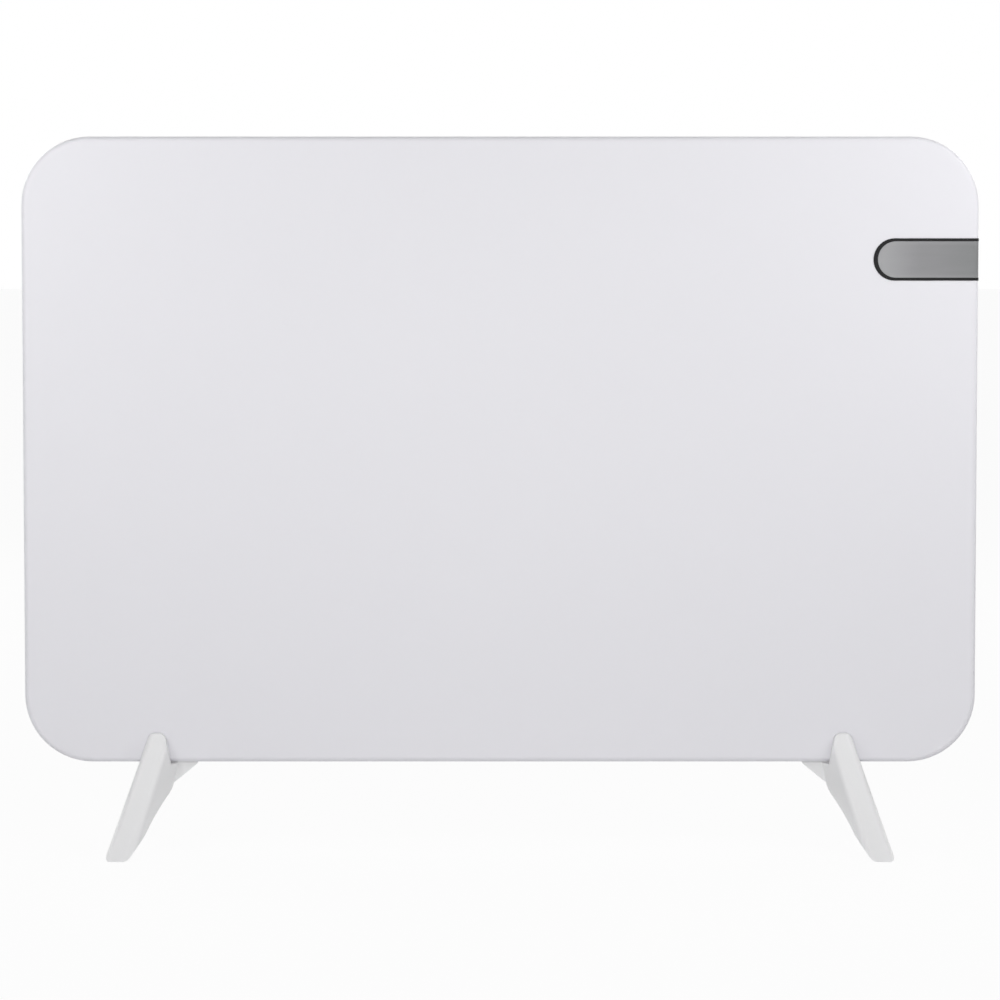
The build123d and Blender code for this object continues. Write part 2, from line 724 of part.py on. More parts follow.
def cover_brackets():
    """Small angle brackets welded inside the tray that the rear cover rests on."""
    brackets = []
    for place in bracket_places():
        bracket = bracket_plate(place, BRACKET_SHEET, LID - BRACKET_HEIGHT, LID)
        bracket += bracket_plate(place, BRACKET_REACH, LID - BRACKET_SHEET, LID)
        x, z = bracket_screw(place)
        radius = COVER_SCREW_RADIUS + TAPPED_CLEARANCE
        bracket -= rod_y(x, z, LID - BRACKET_SHEET, LID, radius)
        brackets.append(bracket)
    return brackets


def cover_screws():
    """Pan-head screws through the rear cover into the brackets."""
    screws = []
    for place in bracket_places():
        x, z = bracket_screw(place)
        shank = rod_y(x, z, BACK - COVER_SCREW_LENGTH, BACK, COVER_SCREW_RADIUS)
        head = rod_y(x, z, BACK, BACK + COVER_SCREW_HEAD_HEIGHT, COVER_SCREW_HEAD)
        head = fillet(head.faces().sort_by(Axis.Y)[-1].edges(), COVER_SCREW_HEAD_HEIGHT / 2)
        screws.append(shank + head)
    return screws


def wall_places():
    """Places of the four wall-fixing threads."""
    wide = (WALL_CENTRE_X - WALL_SPACING_X / 2, WALL_CENTRE_X + WALL_SPACING_X / 2)
    tall = (MIDDLE - WALL_SPACING_Z / 2, MIDDLE + WALL_SPACING_Z / 2)
    return [(x, z) for x in wide for z in tall]


def wall_nut_plates():
    """Threaded plates behind the rear cover for a wall bracket."""
    plates = []
    half = WALL_PLATE / 2
    for x, z in wall_places():
        plate = block(x - half, x + half, LID - NUT_PLATE_THICKNESS, LID, z - half, z + half)
        plates.append(plate - rod_y(x, z, LID - NUT_PLATE_THICKNESS, LID, WALL_THREAD_RADIUS))
    return plates


def foot_screw_places():
    """Screw places of both feet."""
    heights = [BOTTOM + height for height in FOOT_SCREW_HEIGHTS]
    return [[(side * FOOT_SCREW_X, z) for z in heights] for side in (-1, 1)]


def foot_nut_plates():
    """Threaded plates behind the rear cover for the feet."""
    plates = []
    half = FOOT_PLATE_WIDTH / 2
    for places in foot_screw_places():
        x = places[0][0]
        low = places[0][1] - FOOT_PLATE_MARGIN
        high = places[-1][1] + FOOT_PLATE_MARGIN
        plate = block(x - half, x + half, LID - NUT_PLATE_THICKNESS, LID, low, high)
        for hole_x, hole_z in places:
            radius = FOOT_SCREW_RADIUS + TAPPED_CLEARANCE
            plate -= rod_y(hole_x, hole_z, LID - NUT_PLATE_THICKNESS, LID, radius)
        plates.append(plate)
    return plates


def vent_slots(x, z, count):
    """Column of level slots through the rear cover, centred on a place."""
    slots = []
    for index in range(count):
        slot_z = z + (index - (count - 1) / 2) * VENT_PITCH
        outline = Pos(x, slot_z) * SlotOverall(VENT_LENGTH, VENT_WIDTH)
        slots.append(slab(outline, LID - THROUGH, BACK + THROUGH))
    return slots


def rear_cover():
    """Flat steel cover with pressed stiffening beads, vents and all its openings."""
    cover = slab(panel_outline(TRAY_SHEET + COVER_GAP), LID, BACK)
    for place in COVER_BEAD_PLACES:
        outer = Pos(COVER_BEAD_X, BOTTOM + place) * SlotOverall(COVER_BEAD_LENGTH, COVER_BEAD_WIDTH)
        bead = slab(outer, BACK, BACK + COVER_BEAD_HEIGHT)
        bead = fillet(bead.faces().sort_by(Axis.Y)[-1].edges(), COVER_BEAD_HEIGHT / 2)
        length = COVER_BEAD_LENGTH - 2 * COVER_SHEET
        width = COVER_BEAD_WIDTH - 2 * COVER_SHEET
        inner = Pos(COVER_BEAD_X, BOTTOM + place) * SlotOverall(length, width)
        cover = cover + bead - slab(inner, LID, BACK + COVER_BEAD_HEIGHT - COVER_SHEET)
    for slot in vent_slots(VENT_X, VENT_Z, VENT_COUNT):
        cover -= slot
    for slot in vent_slots(VENT_X, UPPER_VENT_Z, UPPER_VENT_COUNT):
        cover -= slot
    for place in bracket_places():
        cover -= rod_y(*bracket_screw(place), LID, BACK, COVER_SCREW_HOLE)
    for x, z in wall_places():
        cover -= rod_y(x, z, LID, BACK, WALL_HOLE_RADIUS)
    for places in foot_screw_places():
        for x, z in places:
            cover -= rod_y(x, z, LID, BACK, FOOT_SCREW_HOLE)
    cover -= rod_y(GLAND_X, GLAND_Z, LID, BACK, GLAND_BODY + SWITCH_FIT)
    cover -= switch_block(SWITCH_BODY_LENGTH + 2 * SWITCH_FIT, SWITCH_BODY_HEIGHT + 2 * SWITCH_FIT, LID, BACK)
    return cover


def switch_block(length, height, y_from, y_to):
    """Rectangular solid centred on the rocker switch."""
    return block(
        SWITCH_X - length / 2,
        SWITCH_X + length / 2,
        y_from,
        y_to,
        SWITCH_Z - height / 2,
        SWITCH_Z + height / 2,
    )


SWITCH_FRONT = BACK - SWITCH_BODY_DEPTH
ROCKER_PIVOT_Y = BACK + SWITCH_BEZEL_DEPTH - ROCKER_PIVOT_DEPTH
SWITCH_BLADES_X = (SWITCH_X - SWITCH_BLADE_OFFSET, SWITCH_X + SWITCH_BLADE_OFFSET)


def rocker_switch_body():
    """Snap-in body of the main switch, with a well that the rocker sits in."""
    rim = switch_block(SWITCH_BEZEL_LENGTH, SWITCH_BEZEL_HEIGHT, BACK, BACK + SWITCH_BEZEL_DEPTH)
    rim = fillet(rim.edges().filter_by(Axis.Y), SWITCH_WALL)
    body = rim + switch_block(SWITCH_BODY_LENGTH, SWITCH_BODY_HEIGHT, SWITCH_FRONT, BACK)
    well_back = BACK + SWITCH_BEZEL_DEPTH
    well_height = ROCKER_HEIGHT + 2 * SWITCH_FIT
    body -= switch_block(SWITCH_WELL_LENGTH, well_height, well_back - SWITCH_WELL_DEPTH, well_back)
    reach = ROCKER_HEIGHT / 2 + TRUNNION_LENGTH + SWITCH_FIT
    radius = TRUNNION_RADIUS + TRUNNION_CLEARANCE
    body -= rod_z(SWITCH_X, ROCKER_PIVOT_Y, SWITCH_Z - reach, SWITCH_Z + reach, radius)
    return body


def rocker():
    """Rocker in its off position, turned by half its throw, with a trunnion at each side."""
    half = ROCKER_LENGTH / 2
    crown = ROCKER_CROWN + ROCKER_PIVOT_DEPTH
    outline = Polygon(
        (-half, 0),
        (-half, crown),
        (0, crown - ROCKER_CROWN / 2),
        (half, crown),
        (half, 0),
        (0, -ROCKER_SKIRT),
        align=None,
    )
    outline = fillet(outline.vertices().filter_by(lambda v: abs(v.Y - crown) < LENS_FIT), SWITCH_WALL)
    body = extrude(outline, amount=ROCKER_HEIGHT / 2, both=True)
    trunnion = Cylinder(TRUNNION_RADIUS, ROCKER_HEIGHT + 2 * TRUNNION_LENGTH)
    turned = Rot(0, 0, ROCKER_THROW / 2) * (body + trunnion)
    return Pos(SWITCH_X, ROCKER_PIVOT_Y, SWITCH_Z) * turned


def switch_blades():
    """Two brass blades at the inner end of the switch."""
    blades = []
    for x in SWITCH_BLADES_X:
        half = SWITCH_BLADE_THICKNESS / 2
        tall = SWITCH_BLADE_WIDTH / 2
        tip = SWITCH_FRONT - SWITCH_BLADE_LENGTH
        blades.append(block(x - half, x + half, tip, SWITCH_FRONT, SWITCH_Z - tall, SWITCH_Z + tall))
    return blades


def connector_lead_y():
    """Depth at which the leads enter the blade connectors."""
    return SWITCH_FRONT - SWITCH_BLADE_LENGTH / 2


def switch_connectors():
    """Flag connectors pushed on the blades, one facing down and one facing up."""
    connectors = []
    for x, direction in zip(SWITCH_BLADES_X, (-1, 1)):
        y = connector_lead_y()
        sleeve = block(
            x - CONNECTOR_WIDTH / 2,
            x + CONNECTOR_WIDTH / 2,
            y - CONNECTOR_DEPTH / 2,
            y + CONNECTOR_DEPTH / 2,
            SWITCH_Z - CONNECTOR_HEIGHT / 2,
            SWITCH_Z + CONNECTOR_HEIGHT / 2,
        )
        half = SWITCH_BLADE_THICKNESS / 2 + CONNECTOR_FIT
        tall = SWITCH_BLADE_WIDTH / 2 + CONNECTOR_FIT
        reach = SWITCH_BLADE_LENGTH
        sleeve -= block(x - half, x + half, y - reach, y + reach, SWITCH_Z - tall, SWITCH_Z + tall)
        ends = [SWITCH_Z + direction * CONNECTOR_HEIGHT / 2]
        ends.append(ends[0] + direction * CONNECTOR_BARREL)
        sleeve += rod_z(x, y, min(ends), max(ends), CONNECTOR_BARREL_RADIUS)
        connectors.append(sleeve)
    return connectors


def bay_box(x_from, x_to, z_from, z_to, height):
    """Component standing on the power board, placed from the box's lower left corner."""
    return block(
        BOX_LEFT + x_from,
        BOX_LEFT + x_to,
        POWER_BOARD_BACK,
        POWER_BOARD_BACK + height,
        BOX_BOTTOM + z_from,
        BOX_BOTTOM + z_to,
    )


def standoff_places():
    """Screw places of the power board."""
    wide = (BOX_LEFT + STANDOFF_INSET, BOX_RIGHT - STANDOFF_INSET)
    tall = (BOX_BOTTOM + STANDOFF_INSET, BOX_TOP - STANDOFF_INSET)
    return [(x, z) for x in wide for z in tall]


def box_outline(inset):
    """Front view of the power box, drawn in by an inset."""
    width = BOX_RIGHT - BOX_LEFT - 2 * inset
    height = BOX_TOP - BOX_BOTTOM - 2 * inset
    centre = Pos((BOX_LEFT + BOX_RIGHT) / 2, (BOX_BOTTOM + BOX_TOP) / 2)
    return centre * RectangleRounded(width, height, BOX_CORNER - inset)


# Places where the leads enter the power box, across it from the left wall
NEUTRAL_PORT = 12.0
LIVE_PORT = 28.0
TILT_PORTS = (52.0, 60.0)
FEED_PORT = 16.0
RETURN_PORT = 28.0
CABLE_PORT = 52.0
SENSOR_PORT = 86.0
SOCKET_DEPTH = 9.0
SOCKET_INSET = 12.0
SOCKET_LENGTH = 10.0
SOCKET_MARGIN = 5.0
PORT_Y = POWER_BOARD_BACK + SOCKET_DEPTH / 2


def power_box():
    """Moulded box that shields the power supply."""
    box = slab(box_outline(0), BOX_FLOOR, BOX_LID_FRONT)
    box -= slab(box_outline(BOX_WALL), BOX_INSIDE, BOX_LID_FRONT)
    for x, z in standoff_places():
        box += rod_y(x, z, BOX_INSIDE, POWER_BOARD_FRONT, STANDOFF_RADIUS)
        box -= rod_y(x, z, BOX_INSIDE, POWER_BOARD_FRONT, BOARD_SCREW_RADIUS + TAPPED_CLEARANCE)
    for port in (NEUTRAL_PORT, LIVE_PORT) + TILT_PORTS:
        box -= rod_z(BOX_LEFT + port, PORT_Y, BOX_BOTTOM, BOX_BOTTOM + BOX_WALL, LEAD_HOLE_RADIUS)
    for port in (FEED_PORT, RETURN_PORT, SENSOR_PORT):
        box -= rod_z(BOX_LEFT + port, PORT_Y, BOX_TOP - BOX_WALL, BOX_TOP, LEAD_HOLE_RADIUS)
    box -= rod_z(BOX_LEFT + CABLE_PORT, PORT_Y, BOX_TOP - BOX_WALL, BOX_TOP, CABLE_HOLE_RADIUS)
    return box


def power_box_lid():
    """Flat lid of the power box, with a locating rib inside the walls."""
    lid = slab(box_outline(0), BOX_LID_FRONT, BOX_LID_BACK)
    rib = slab(box_outline(BOX_WALL + STRIP_FIT), BOX_LID_FRONT - PIECE_HEADROOM / 2, BOX_LID_FRONT)
    rib -= slab(box_outline(BOX_WALL + TRAY_SHEET), BOX_LID_FRONT - PIECE_HEADROOM, BOX_LID_FRONT)
    return lid + rib


def box_tapes():
    """Two bonding tapes between the front sheet and the power box."""
    tapes = []
    for z in (BOX_BOTTOM + TAPE_INSET, BOX_TOP - TAPE_INSET - TAPE_WIDTH):
        tapes.append(
            block(BOX_LEFT + TAPE_INSET, BOX_RIGHT - TAPE_INSET, SKIN, BOX_FLOOR, z, z + TAPE_WIDTH)
        )
    return tapes


def power_board():
    """Circuit board of the power supply."""
    board = slab(box_outline(BOX_WALL + BOARD_MARGIN), POWER_BOARD_FRONT, POWER_BOARD_BACK)
    for x, z in standoff_places():
        board -= rod_y(x, z, POWER_BOARD_FRONT, POWER_BOARD_BACK, BOARD_SCREW_RADIUS + STRIP_FIT)
    return board


def board_screws():
    """Screws of the power board."""
    screws = []
    for x, z in standoff_places():
        shank = rod_y(x, z, BOX_INSIDE + TAPPED_CLEARANCE, POWER_BOARD_BACK, BOARD_SCREW_RADIUS)
        head_back = POWER_BOARD_BACK + BOARD_SCREW_HEAD_HEIGHT
        screws.append(shank + rod_y(x, z, POWER_BOARD_BACK, head_back, BOARD_SCREW_HEAD))
    return screws


def socket(ports, from_top):
    """Push-in socket on the power board that takes the leads of some ports."""
    low = BOX_BOTTOM + SOCKET_INSET
    if from_top:
        low = BOX_TOP - SOCKET_INSET - SOCKET_LENGTH
    return block(
        BOX_LEFT + min(ports) - SOCKET_MARGIN,
        BOX_LEFT + max(ports) + SOCKET_MARGIN,
        POWER_BOARD_BACK,
        POWER_BOARD_BACK + SOCKET_DEPTH,
        low,
        low + SOCKET_LENGTH,
    )


# Components of the power board, across and up from the box's lower left corner
RELAY_PLACE = (14.0, 33.0, 44.0, 60.0)
TRANSFORMER_PLACE = (46.0, 74.0, 44.0, 70.0)
CORE_MARGIN = 4.0
FILTER_PLACE = (44.0, 70.0, 88.0, 100.0)
BULK_PLACES = ((84.0, 92.0), (84.0, 108.0), (84.0, 124.0))
BULK_RADIUS = 6.2


def board_sockets():
    """Sockets for the mains leads, element leads, sensors and both ends of the display cable."""
    return [
        socket((NEUTRAL_PORT, LIVE_PORT), False),
        socket(TILT_PORTS, False),
        socket((FEED_PORT, RETURN_PORT), True),
        socket((CABLE_PORT,), True),
        socket((SENSOR_PORT,), True),
        cable_socket(),
    ]


def relay():
    """Relay that switches the heating film."""
    return bay_box(*RELAY_PLACE, COMPONENT_BACK - POWER_BOARD_BACK)


def transformer():
    """Small supply transformer: a laminated core round a taped coil."""
    x_from, x_to, z_from, z_to = TRANSFORMER_PLACE
    height = COMPONENT_BACK - POWER_BOARD_BACK
    core = bay_box(x_from, x_to, z_from + CORE_MARGIN, z_to - CORE_MARGIN, height)
    coil = bay_box(x_from + CORE_MARGIN, x_to - CORE_MARGIN, z_from, z_to, height - CORE_MARGIN)
    return core + coil


def filter_capacitor():
    """Box film capacitor across the mains."""
    body = bay_box(*FILTER_PLACE, COMPONENT_BACK - POWER_BOARD_BACK)
    return fillet(body.edges().filter_by(Axis.Y), THROUGH)


def bulk_capacitors():
    """Round electrolytic capacitors."""
    cans = []
    for x, z in BULK_PLACES:
        cans.append(rod_y(BOX_LEFT + x, BOX_BOTTOM + z, POWER_BOARD_BACK, COMPONENT_BACK, BULK_RADIUS))
    return cans


def terminal_bracket():
    """Steel bracket on the tray's floor that carries the inlet terminals."""
    floor = BOTTOM + TRAY_SHEET
    outline = Polygon(
        (BRACKET_LEFT, floor),
        (BRACKET_FOOT_END, floor),
        (BRACKET_RIGHT, BRACKET_CUT_Z),
        (BRACKET_RIGHT, BRACKET_EAR_TOP),
        (BRACKET_EAR_LEFT, BRACKET_EAR_TOP),
        (BRACKET_EAR_LEFT, BRACKET_TOP),
        (BRACKET_LEFT, BRACKET_TOP),
        align=None,
    )
    plate = slab(outline, BRACKET_PLATE_FRONT, BRACKET_PLATE_BACK)
    foot_back = BRACKET_PLATE_FRONT + BRACKET_FOOT_REACH
    sheet = BRACKET_PLATE_SHEET
    plate += block(BRACKET_LEFT, BRACKET_FOOT_END, BRACKET_PLATE_FRONT, foot_back, floor, floor + sheet)
    return plate - rod_y(EARTH_X, EARTH_Z, BRACKET_PLATE_FRONT, BRACKET_PLATE_BACK, EARTH_STUD_RADIUS)


TERMINAL_TOP = TERMINAL_BOTTOM + TERMINAL_HEIGHT
TERMINAL_BACK = BRACKET_PLATE_BACK + TERMINAL_DEPTH
TERMINAL_Y = BRACKET_PLATE_BACK + TERMINAL_DEPTH / 2
POLES_X = [TERMINAL_LEFT + TERMINAL_PITCH * (index + 0.5) for index in range(3)]


def terminal_block():
    """Three-pole inlet terminal: neutral, live and earth from left to right."""
    body = block(
        TERMINAL_LEFT,
        TERMINAL_LEFT + TERMINAL_WIDTH,
        BRACKET_PLATE_BACK,
        TERMINAL_BACK,
        TERMINAL_BOTTOM,
        TERMINAL_TOP,
    )
    for x in POLES_X:
        body -= rod_z(x, TERMINAL_Y, TERMINAL_TOP - TERMINAL_BORE_DEPTH, TERMINAL_TOP, TERMINAL_BORE)
        body -= rod_z(x, TERMINAL_Y, TERMINAL_BOTTOM, TERMINAL_BOTTOM + TERMINAL_BORE_DEPTH, TERMINAL_BORE)
    for x, z in terminal_screw_places():
        radius = TERMINAL_SCREW_RADIUS + TAPPED_CLEARANCE
        body -= rod_y(x, z, TERMINAL_BACK - TERMINAL_SCREW_DEPTH, TERMINAL_BACK, radius)
    return body


def terminal_screw_places():
    """Clamping screw places, two for each pole."""
    low = TERMINAL_BOTTOM + TERMINAL_BORE_DEPTH / 2
    high = TERMINAL_TOP - TERMINAL_BORE_DEPTH / 2
    return [(x, z) for x in POLES_X for z in (low, high)]


def terminal_screws():
    """Clamping screws sunk in the terminal block."""
    depth = TERMINAL_BACK - TERMINAL_SCREW_DEPTH
    radius = TERMINAL_SCREW_RADIUS
    return [rod_y(x, z, depth, TERMINAL_BACK - LENS_PROUD, radius) for x, z in terminal_screw_places()]


def earth_stud():
    """Threaded stud pressed in the bracket, with its clamping nut."""
    root = BRACKET_PLATE_FRONT
    stud = rod_y(EARTH_X, EARTH_Z, root, root + EARTH_STUD_LENGTH, EARTH_STUD_RADIUS)
    nut_front = BRACKET_PLATE_BACK + RING_THICKNESS
    nut = Pos(EARTH_X, EARTH_Z) * RegularPolygon(EARTH_NUT_RADIUS, 6)
    return stud + slab(nut, nut_front, nut_front + EARTH_NUT_HEIGHT)


def earth_ring():
    """Ring terminal clamped on the earth stud."""
    back = BRACKET_PLATE_BACK + RING_THICKNESS
    ring = rod_y(EARTH_X, EARTH_Z, BRACKET_PLATE_BACK, back, RING_RADIUS)
    neck_end = EARTH_X - RING_RADIUS - RING_NECK
    half = RING_BARREL_RADIUS
    ring += block(neck_end - 1, EARTH_X, BRACKET_PLATE_BACK, back, EARTH_Z - half, EARTH_Z + half)
    barrel_y = BRACKET_PLATE_BACK + RING_BARREL_RADIUS
    ring -= rod_y(EARTH_X, EARTH_Z, BRACKET_PLATE_BACK, back, EARTH_STUD_RADIUS + TAPPED_CLEARANCE)
    return ring + rod_x(barrel_y, EARTH_Z, neck_end - RING_BARREL_LENGTH, neck_end, RING_BARREL_RADIUS)


def cord_gland():
    """Round gland through the rear cover, with a clear bore for a supply cord."""
    flange_back = BACK + GLAND_FLANGE_HEIGHT
    gland = rod_y(GLAND_X, GLAND_Z, LID - GLAND_INSIDE, BACK, GLAND_BODY)
    gland += rod_y(GLAND_X, GLAND_Z, BACK, flange_back, GLAND_FLANGE)
    dome = rod_y(GLAND_X, GLAND_Z, flange_back, flange_back + GLAND_DOME_HEIGHT, GLAND_DOME)
    dome = fillet(dome.faces().sort_by(Axis.Y)[-1].edges(), GLAND_FLANGE_HEIGHT)
    gland += dome
    bore_end = flange_back + GLAND_DOME_HEIGHT
    return gland - rod_y(GLAND_X, GLAND_Z, LID - GLAND_INSIDE, bore_end, GLAND_BORE)


def gland_nut():
    """Hexagon nut that holds the gland from inside the cover."""
    outline = Pos(GLAND_X, GLAND_Z) * RegularPolygon(GLAND_NUT_RADIUS, 6)
    nut = slab(outline, LID - GLAND_NUT_HEIGHT, LID)
    return nut - rod_y(GLAND_X, GLAND_Z, LID - GLAND_NUT_HEIGHT, LID, GLAND_BODY + GLAND_FIT)


TILT_RIGHT = TILT_LEFT + TILT_WIDTH
TILT_TOP = TILT_BOTTOM + TILT_HEIGHT
TILT_FRONT = BRACKET_PLATE_BACK
TILT_BACK = TILT_FRONT + TILT_DEPTH
TILT_X = (TILT_LEFT + TILT_RIGHT) / 2
TILT_Y = (TILT_FRONT + TILT_BACK) / 2
TILT_PIVOT_Z = TILT_TOP - TILT_PIVOT_DROP


def tilt_switch_case():
    """Case of the tip-over switch, open to the left."""
    case = block(TILT_LEFT + TILT_LID, TILT_RIGHT, TILT_FRONT, TILT_BACK, TILT_BOTTOM, TILT_TOP)
    case -= block(
        TILT_LEFT + TILT_LID,
        TILT_RIGHT - TILT_WALL,
        TILT_FRONT + TILT_WALL,
        TILT_BACK - TILT_WALL,
        TILT_BOTTOM + TILT_WALL,
        TILT_TOP - TILT_WALL,
    )
    bore = TILT_PIN_RADIUS + TAPPED_CLEARANCE
    return case - rod_x(TILT_Y, TILT_PIVOT_Z, TILT_RIGHT - TILT_WALL, TILT_RIGHT, bore)


def tilt_switch_lid():
    """Side lid of the tip-over switch."""
    lid = block(TILT_LEFT, TILT_LEFT + TILT_LID, TILT_FRONT, TILT_BACK, TILT_BOTTOM, TILT_TOP)
    bore = TILT_PIN_RADIUS + TAPPED_CLEARANCE
    return lid - rod_x(TILT_Y, TILT_PIVOT_Z, TILT_LEFT, TILT_LEFT + TILT_LID, bore)


def tilt_pivot_pin():
    """Steel pin that the pendulum hangs on."""
    return rod_x(TILT_Y, TILT_PIVOT_Z, TILT_LEFT, TILT_RIGHT, TILT_PIN_RADIUS)


def tilt_pendulum():
    """Brass pendulum: an eye on the pin, a rod and a round bob."""
    left = TILT_LEFT + TILT_LID + TILT_EYE_GAP
    right = TILT_RIGHT - TILT_WALL - TILT_EYE_GAP
    body = rod_x(TILT_Y, TILT_PIVOT_Z, left, right, TILT_EYE_RADIUS)
    bob_z = TILT_PIVOT_Z - TILT_ARM
    body += rod_z(TILT_X, TILT_Y, bob_z, TILT_PIVOT_Z, TILT_ROD_RADIUS)
    body += rod_z(TILT_X, TILT_Y, bob_z - TILT_BOB_HEIGHT / 2, bob_z + TILT_BOB_HEIGHT / 2, TILT_BOB_RADIUS)
    bore = TILT_PIN_RADIUS + TILT_PIN_CLEARANCE
    return body - rod_x(TILT_Y, TILT_PIVOT_Z, left, right, bore)


SENSOR_X = RIGHT - TRAY_SHEET - SENSOR_HOLDER_WIDTH / 2


def sensor_holder():
    """Plastic holder on the tray's right wall."""
    half = SENSOR_HOLDER_DEPTH / 2
    tall = SENSOR_HOLDER_HEIGHT / 2
    left = RIGHT - TRAY_SHEET - SENSOR_HOLDER_WIDTH
    body = block(left, RIGHT - TRAY_SHEET, -half, half, SENSOR_Z - tall, SENSOR_Z + tall)
    return body - rod_z(SENSOR_X, 0, SENSOR_Z - tall, SENSOR_Z + tall, SENSOR_RADIUS + SENSOR_FIT)


def room_sensor():
    """Sleeved temperature sensor in its holder."""
    tall = SENSOR_HOLDER_HEIGHT / 2
    return rod_z(SENSOR_X, 0, SENSOR_Z - tall, SENSOR_Z + tall, SENSOR_RADIUS)


def lead(name, route, diameter):
    """Round lead along straight runs joined by arcs as large as the runs allow."""
    points = [Vector(*point) for point in route]
    radii = []
    for before, corner, after in zip(points, points[1:], points[2:]):
        arriving = corner - before
        leaving = after - corner
        half_turn = radians(arriving.get_angle(leaving)) / 2
        radii.append(ARC_SHARE * min(arriving.length, leaving.length) / tan(half_turn))
    path = FilletPolyline(*points, radius=radii)
    section = Plane(origin=path @ 0, z_dir=path % 0) * Circle(diameter / 2)
    solid = sweep(section, path=path)
    expected = section.area * path.length
    print(name, "radii", [round(radius, 1) for radius in radii],
          "volume over section times length", round(solid.volume / expected, 4))
    return solid


def port(place, from_top):
    """Point where a lead ends at its socket on the power board."""
    z = BOX_BOTTOM + SOCKET_INSET
    if from_top:
        z = BOX_TOP - SOCKET_INSET
    return (BOX_LEFT + place, PORT_Y, z)


def neutral_lead():
    """Lead from the inlet terminal up past the switch to the power board."""
    start = (POLES_X[0], TERMINAL_Y, TERMINAL_TOP - TERMINAL_BORE_DEPTH)
    end = port(NEUTRAL_PORT, False)
    route = [
        start,
        (start[0], start[1], start[2] + 16),
        (start[0] - 1.5, start[1] + 0.6, start[2] + 38),
        (end[0], end[1], end[2] - 22),
        end,
    ]
    return lead("neutral_lead", route, LEAD_DIAMETER)


def live_lead():
    """Lead from the inlet terminal to the lower blade of the main switch."""
    start = (POLES_X[1], TERMINAL_Y, TERMINAL_TOP - TERMINAL_BORE_DEPTH)
    end = (SWITCH_BLADES_X[0], connector_lead_y(), SWITCH_Z - CONNECTOR_HEIGHT / 2 - CONNECTOR_BARREL)
    route = [
        start,
        (start[0], start[1], start[2] + 12),
        (end[0], end[1], end[2] - 8),
        end,
    ]
    return lead("live_lead", route, LEAD_DIAMETER)


def switched_live_lead():
    """Lead from the upper blade of the main switch to the power board."""
    start = (SWITCH_BLADES_X[1], connector_lead_y(), SWITCH_Z + CONNECTOR_HEIGHT / 2 + CONNECTOR_BARREL)
    end = port(LIVE_PORT, False)
    route = [
        start,
        (start[0], start[1], start[2] + 5),
        (end[0], end[1], end[2] - 12),
        end,
    ]
    return lead("switched_live_lead", route, LEAD_DIAMETER)


def earth_lead():
    """Lead from the inlet terminal to the earth stud."""
    start = (POLES_X[2], TERMINAL_Y, TERMINAL_TOP - TERMINAL_BORE_DEPTH)
    barrel_end = EARTH_X - RING_RADIUS - RING_NECK - RING_BARREL_LENGTH
    end = (barrel_end, BRACKET_PLATE_BACK + RING_BARREL_RADIUS, EARTH_Z)
    route = [
        start,
        (start[0], start[1], start[2] + 12),
        (start[0] + 0.8, start[1] - 1.6, EARTH_Z - 8.5),
        (end[0] - 7.5, end[1], end[2]),
        end,
    ]
    return lead("earth_lead", route, LEAD_DIAMETER)


def tilt_leads():
    """Two leads from the tip-over switch to the power board."""
    leads = []
    for offset, place in zip((-TILT_LEAD_OFFSET, TILT_LEAD_OFFSET), TILT_PORTS):
        start = (TILT_X + offset, TILT_Y, TILT_TOP)
        end = port(place, False)
        route = [
            start,
            (start[0], start[1], start[2] + 16),
            (end[0], end[1], end[2] - 22),
            end,
        ]
        leads.append(lead("tilt_leads", route, LEAD_DIAMETER))
    return leads


def sensor_lead():
    """Lead from the power board to the room sensor."""
    start = port(SENSOR_PORT, True)
    end = (SENSOR_X, 0, SENSOR_Z - SENSOR_HOLDER_HEIGHT / 2)
    route = [
        start,
        (start[0], start[1], start[2] + 20),
        (end[0], end[1], end[2] - 16),
        end,
    ]
    return lead("sensor_lead", route, LEAD_DIAMETER)


def display_cable():
    """Cable from the power board up to the display board."""
    start = port(CABLE_PORT, True)
    cable_y = DISPLAY_BOARD_BACK + CABLE_SOCKET_DEPTH / 2
    socket_low = MODULE_LOW + POST_INSET + MODULE_WALL
    end = (MODULE_LEFT + CABLE_PLACE, cable_y, socket_low)
    route = [
        start,
        (start[0], start[1], BOX_TOP + 18),
        (start[0] + 5, start[1] + 0.8, BOX_TOP + 58),
        (start[0] + 3, cable_y + 0.5, BOX_TOP + 100),
        (end[0] - 3, cable_y + 0.3, MODULE_LOW - 36),
        (end[0], cable_y, MODULE_LOW - 10),
        end,
    ]
    return lead("display_cable", route, CABLE_DIAMETER)


def cable_socket():
    """Socket on the display board that takes the cable."""
    x = MODULE_LEFT + CABLE_PLACE
    low = MODULE_LOW + POST_INSET + MODULE_WALL
    half = CABLE_SOCKET_WIDTH / 2
    back = DISPLAY_BOARD_BACK + CABLE_SOCKET_DEPTH
    return block(x - half, x + half, DISPLAY_BOARD_BACK, back, low, low + CABLE_SOCKET_HEIGHT)


FOIL_LEAD_Y = FOIL_BACK + LEAD_FOIL_GAP + LEAD_DIAMETER / 2


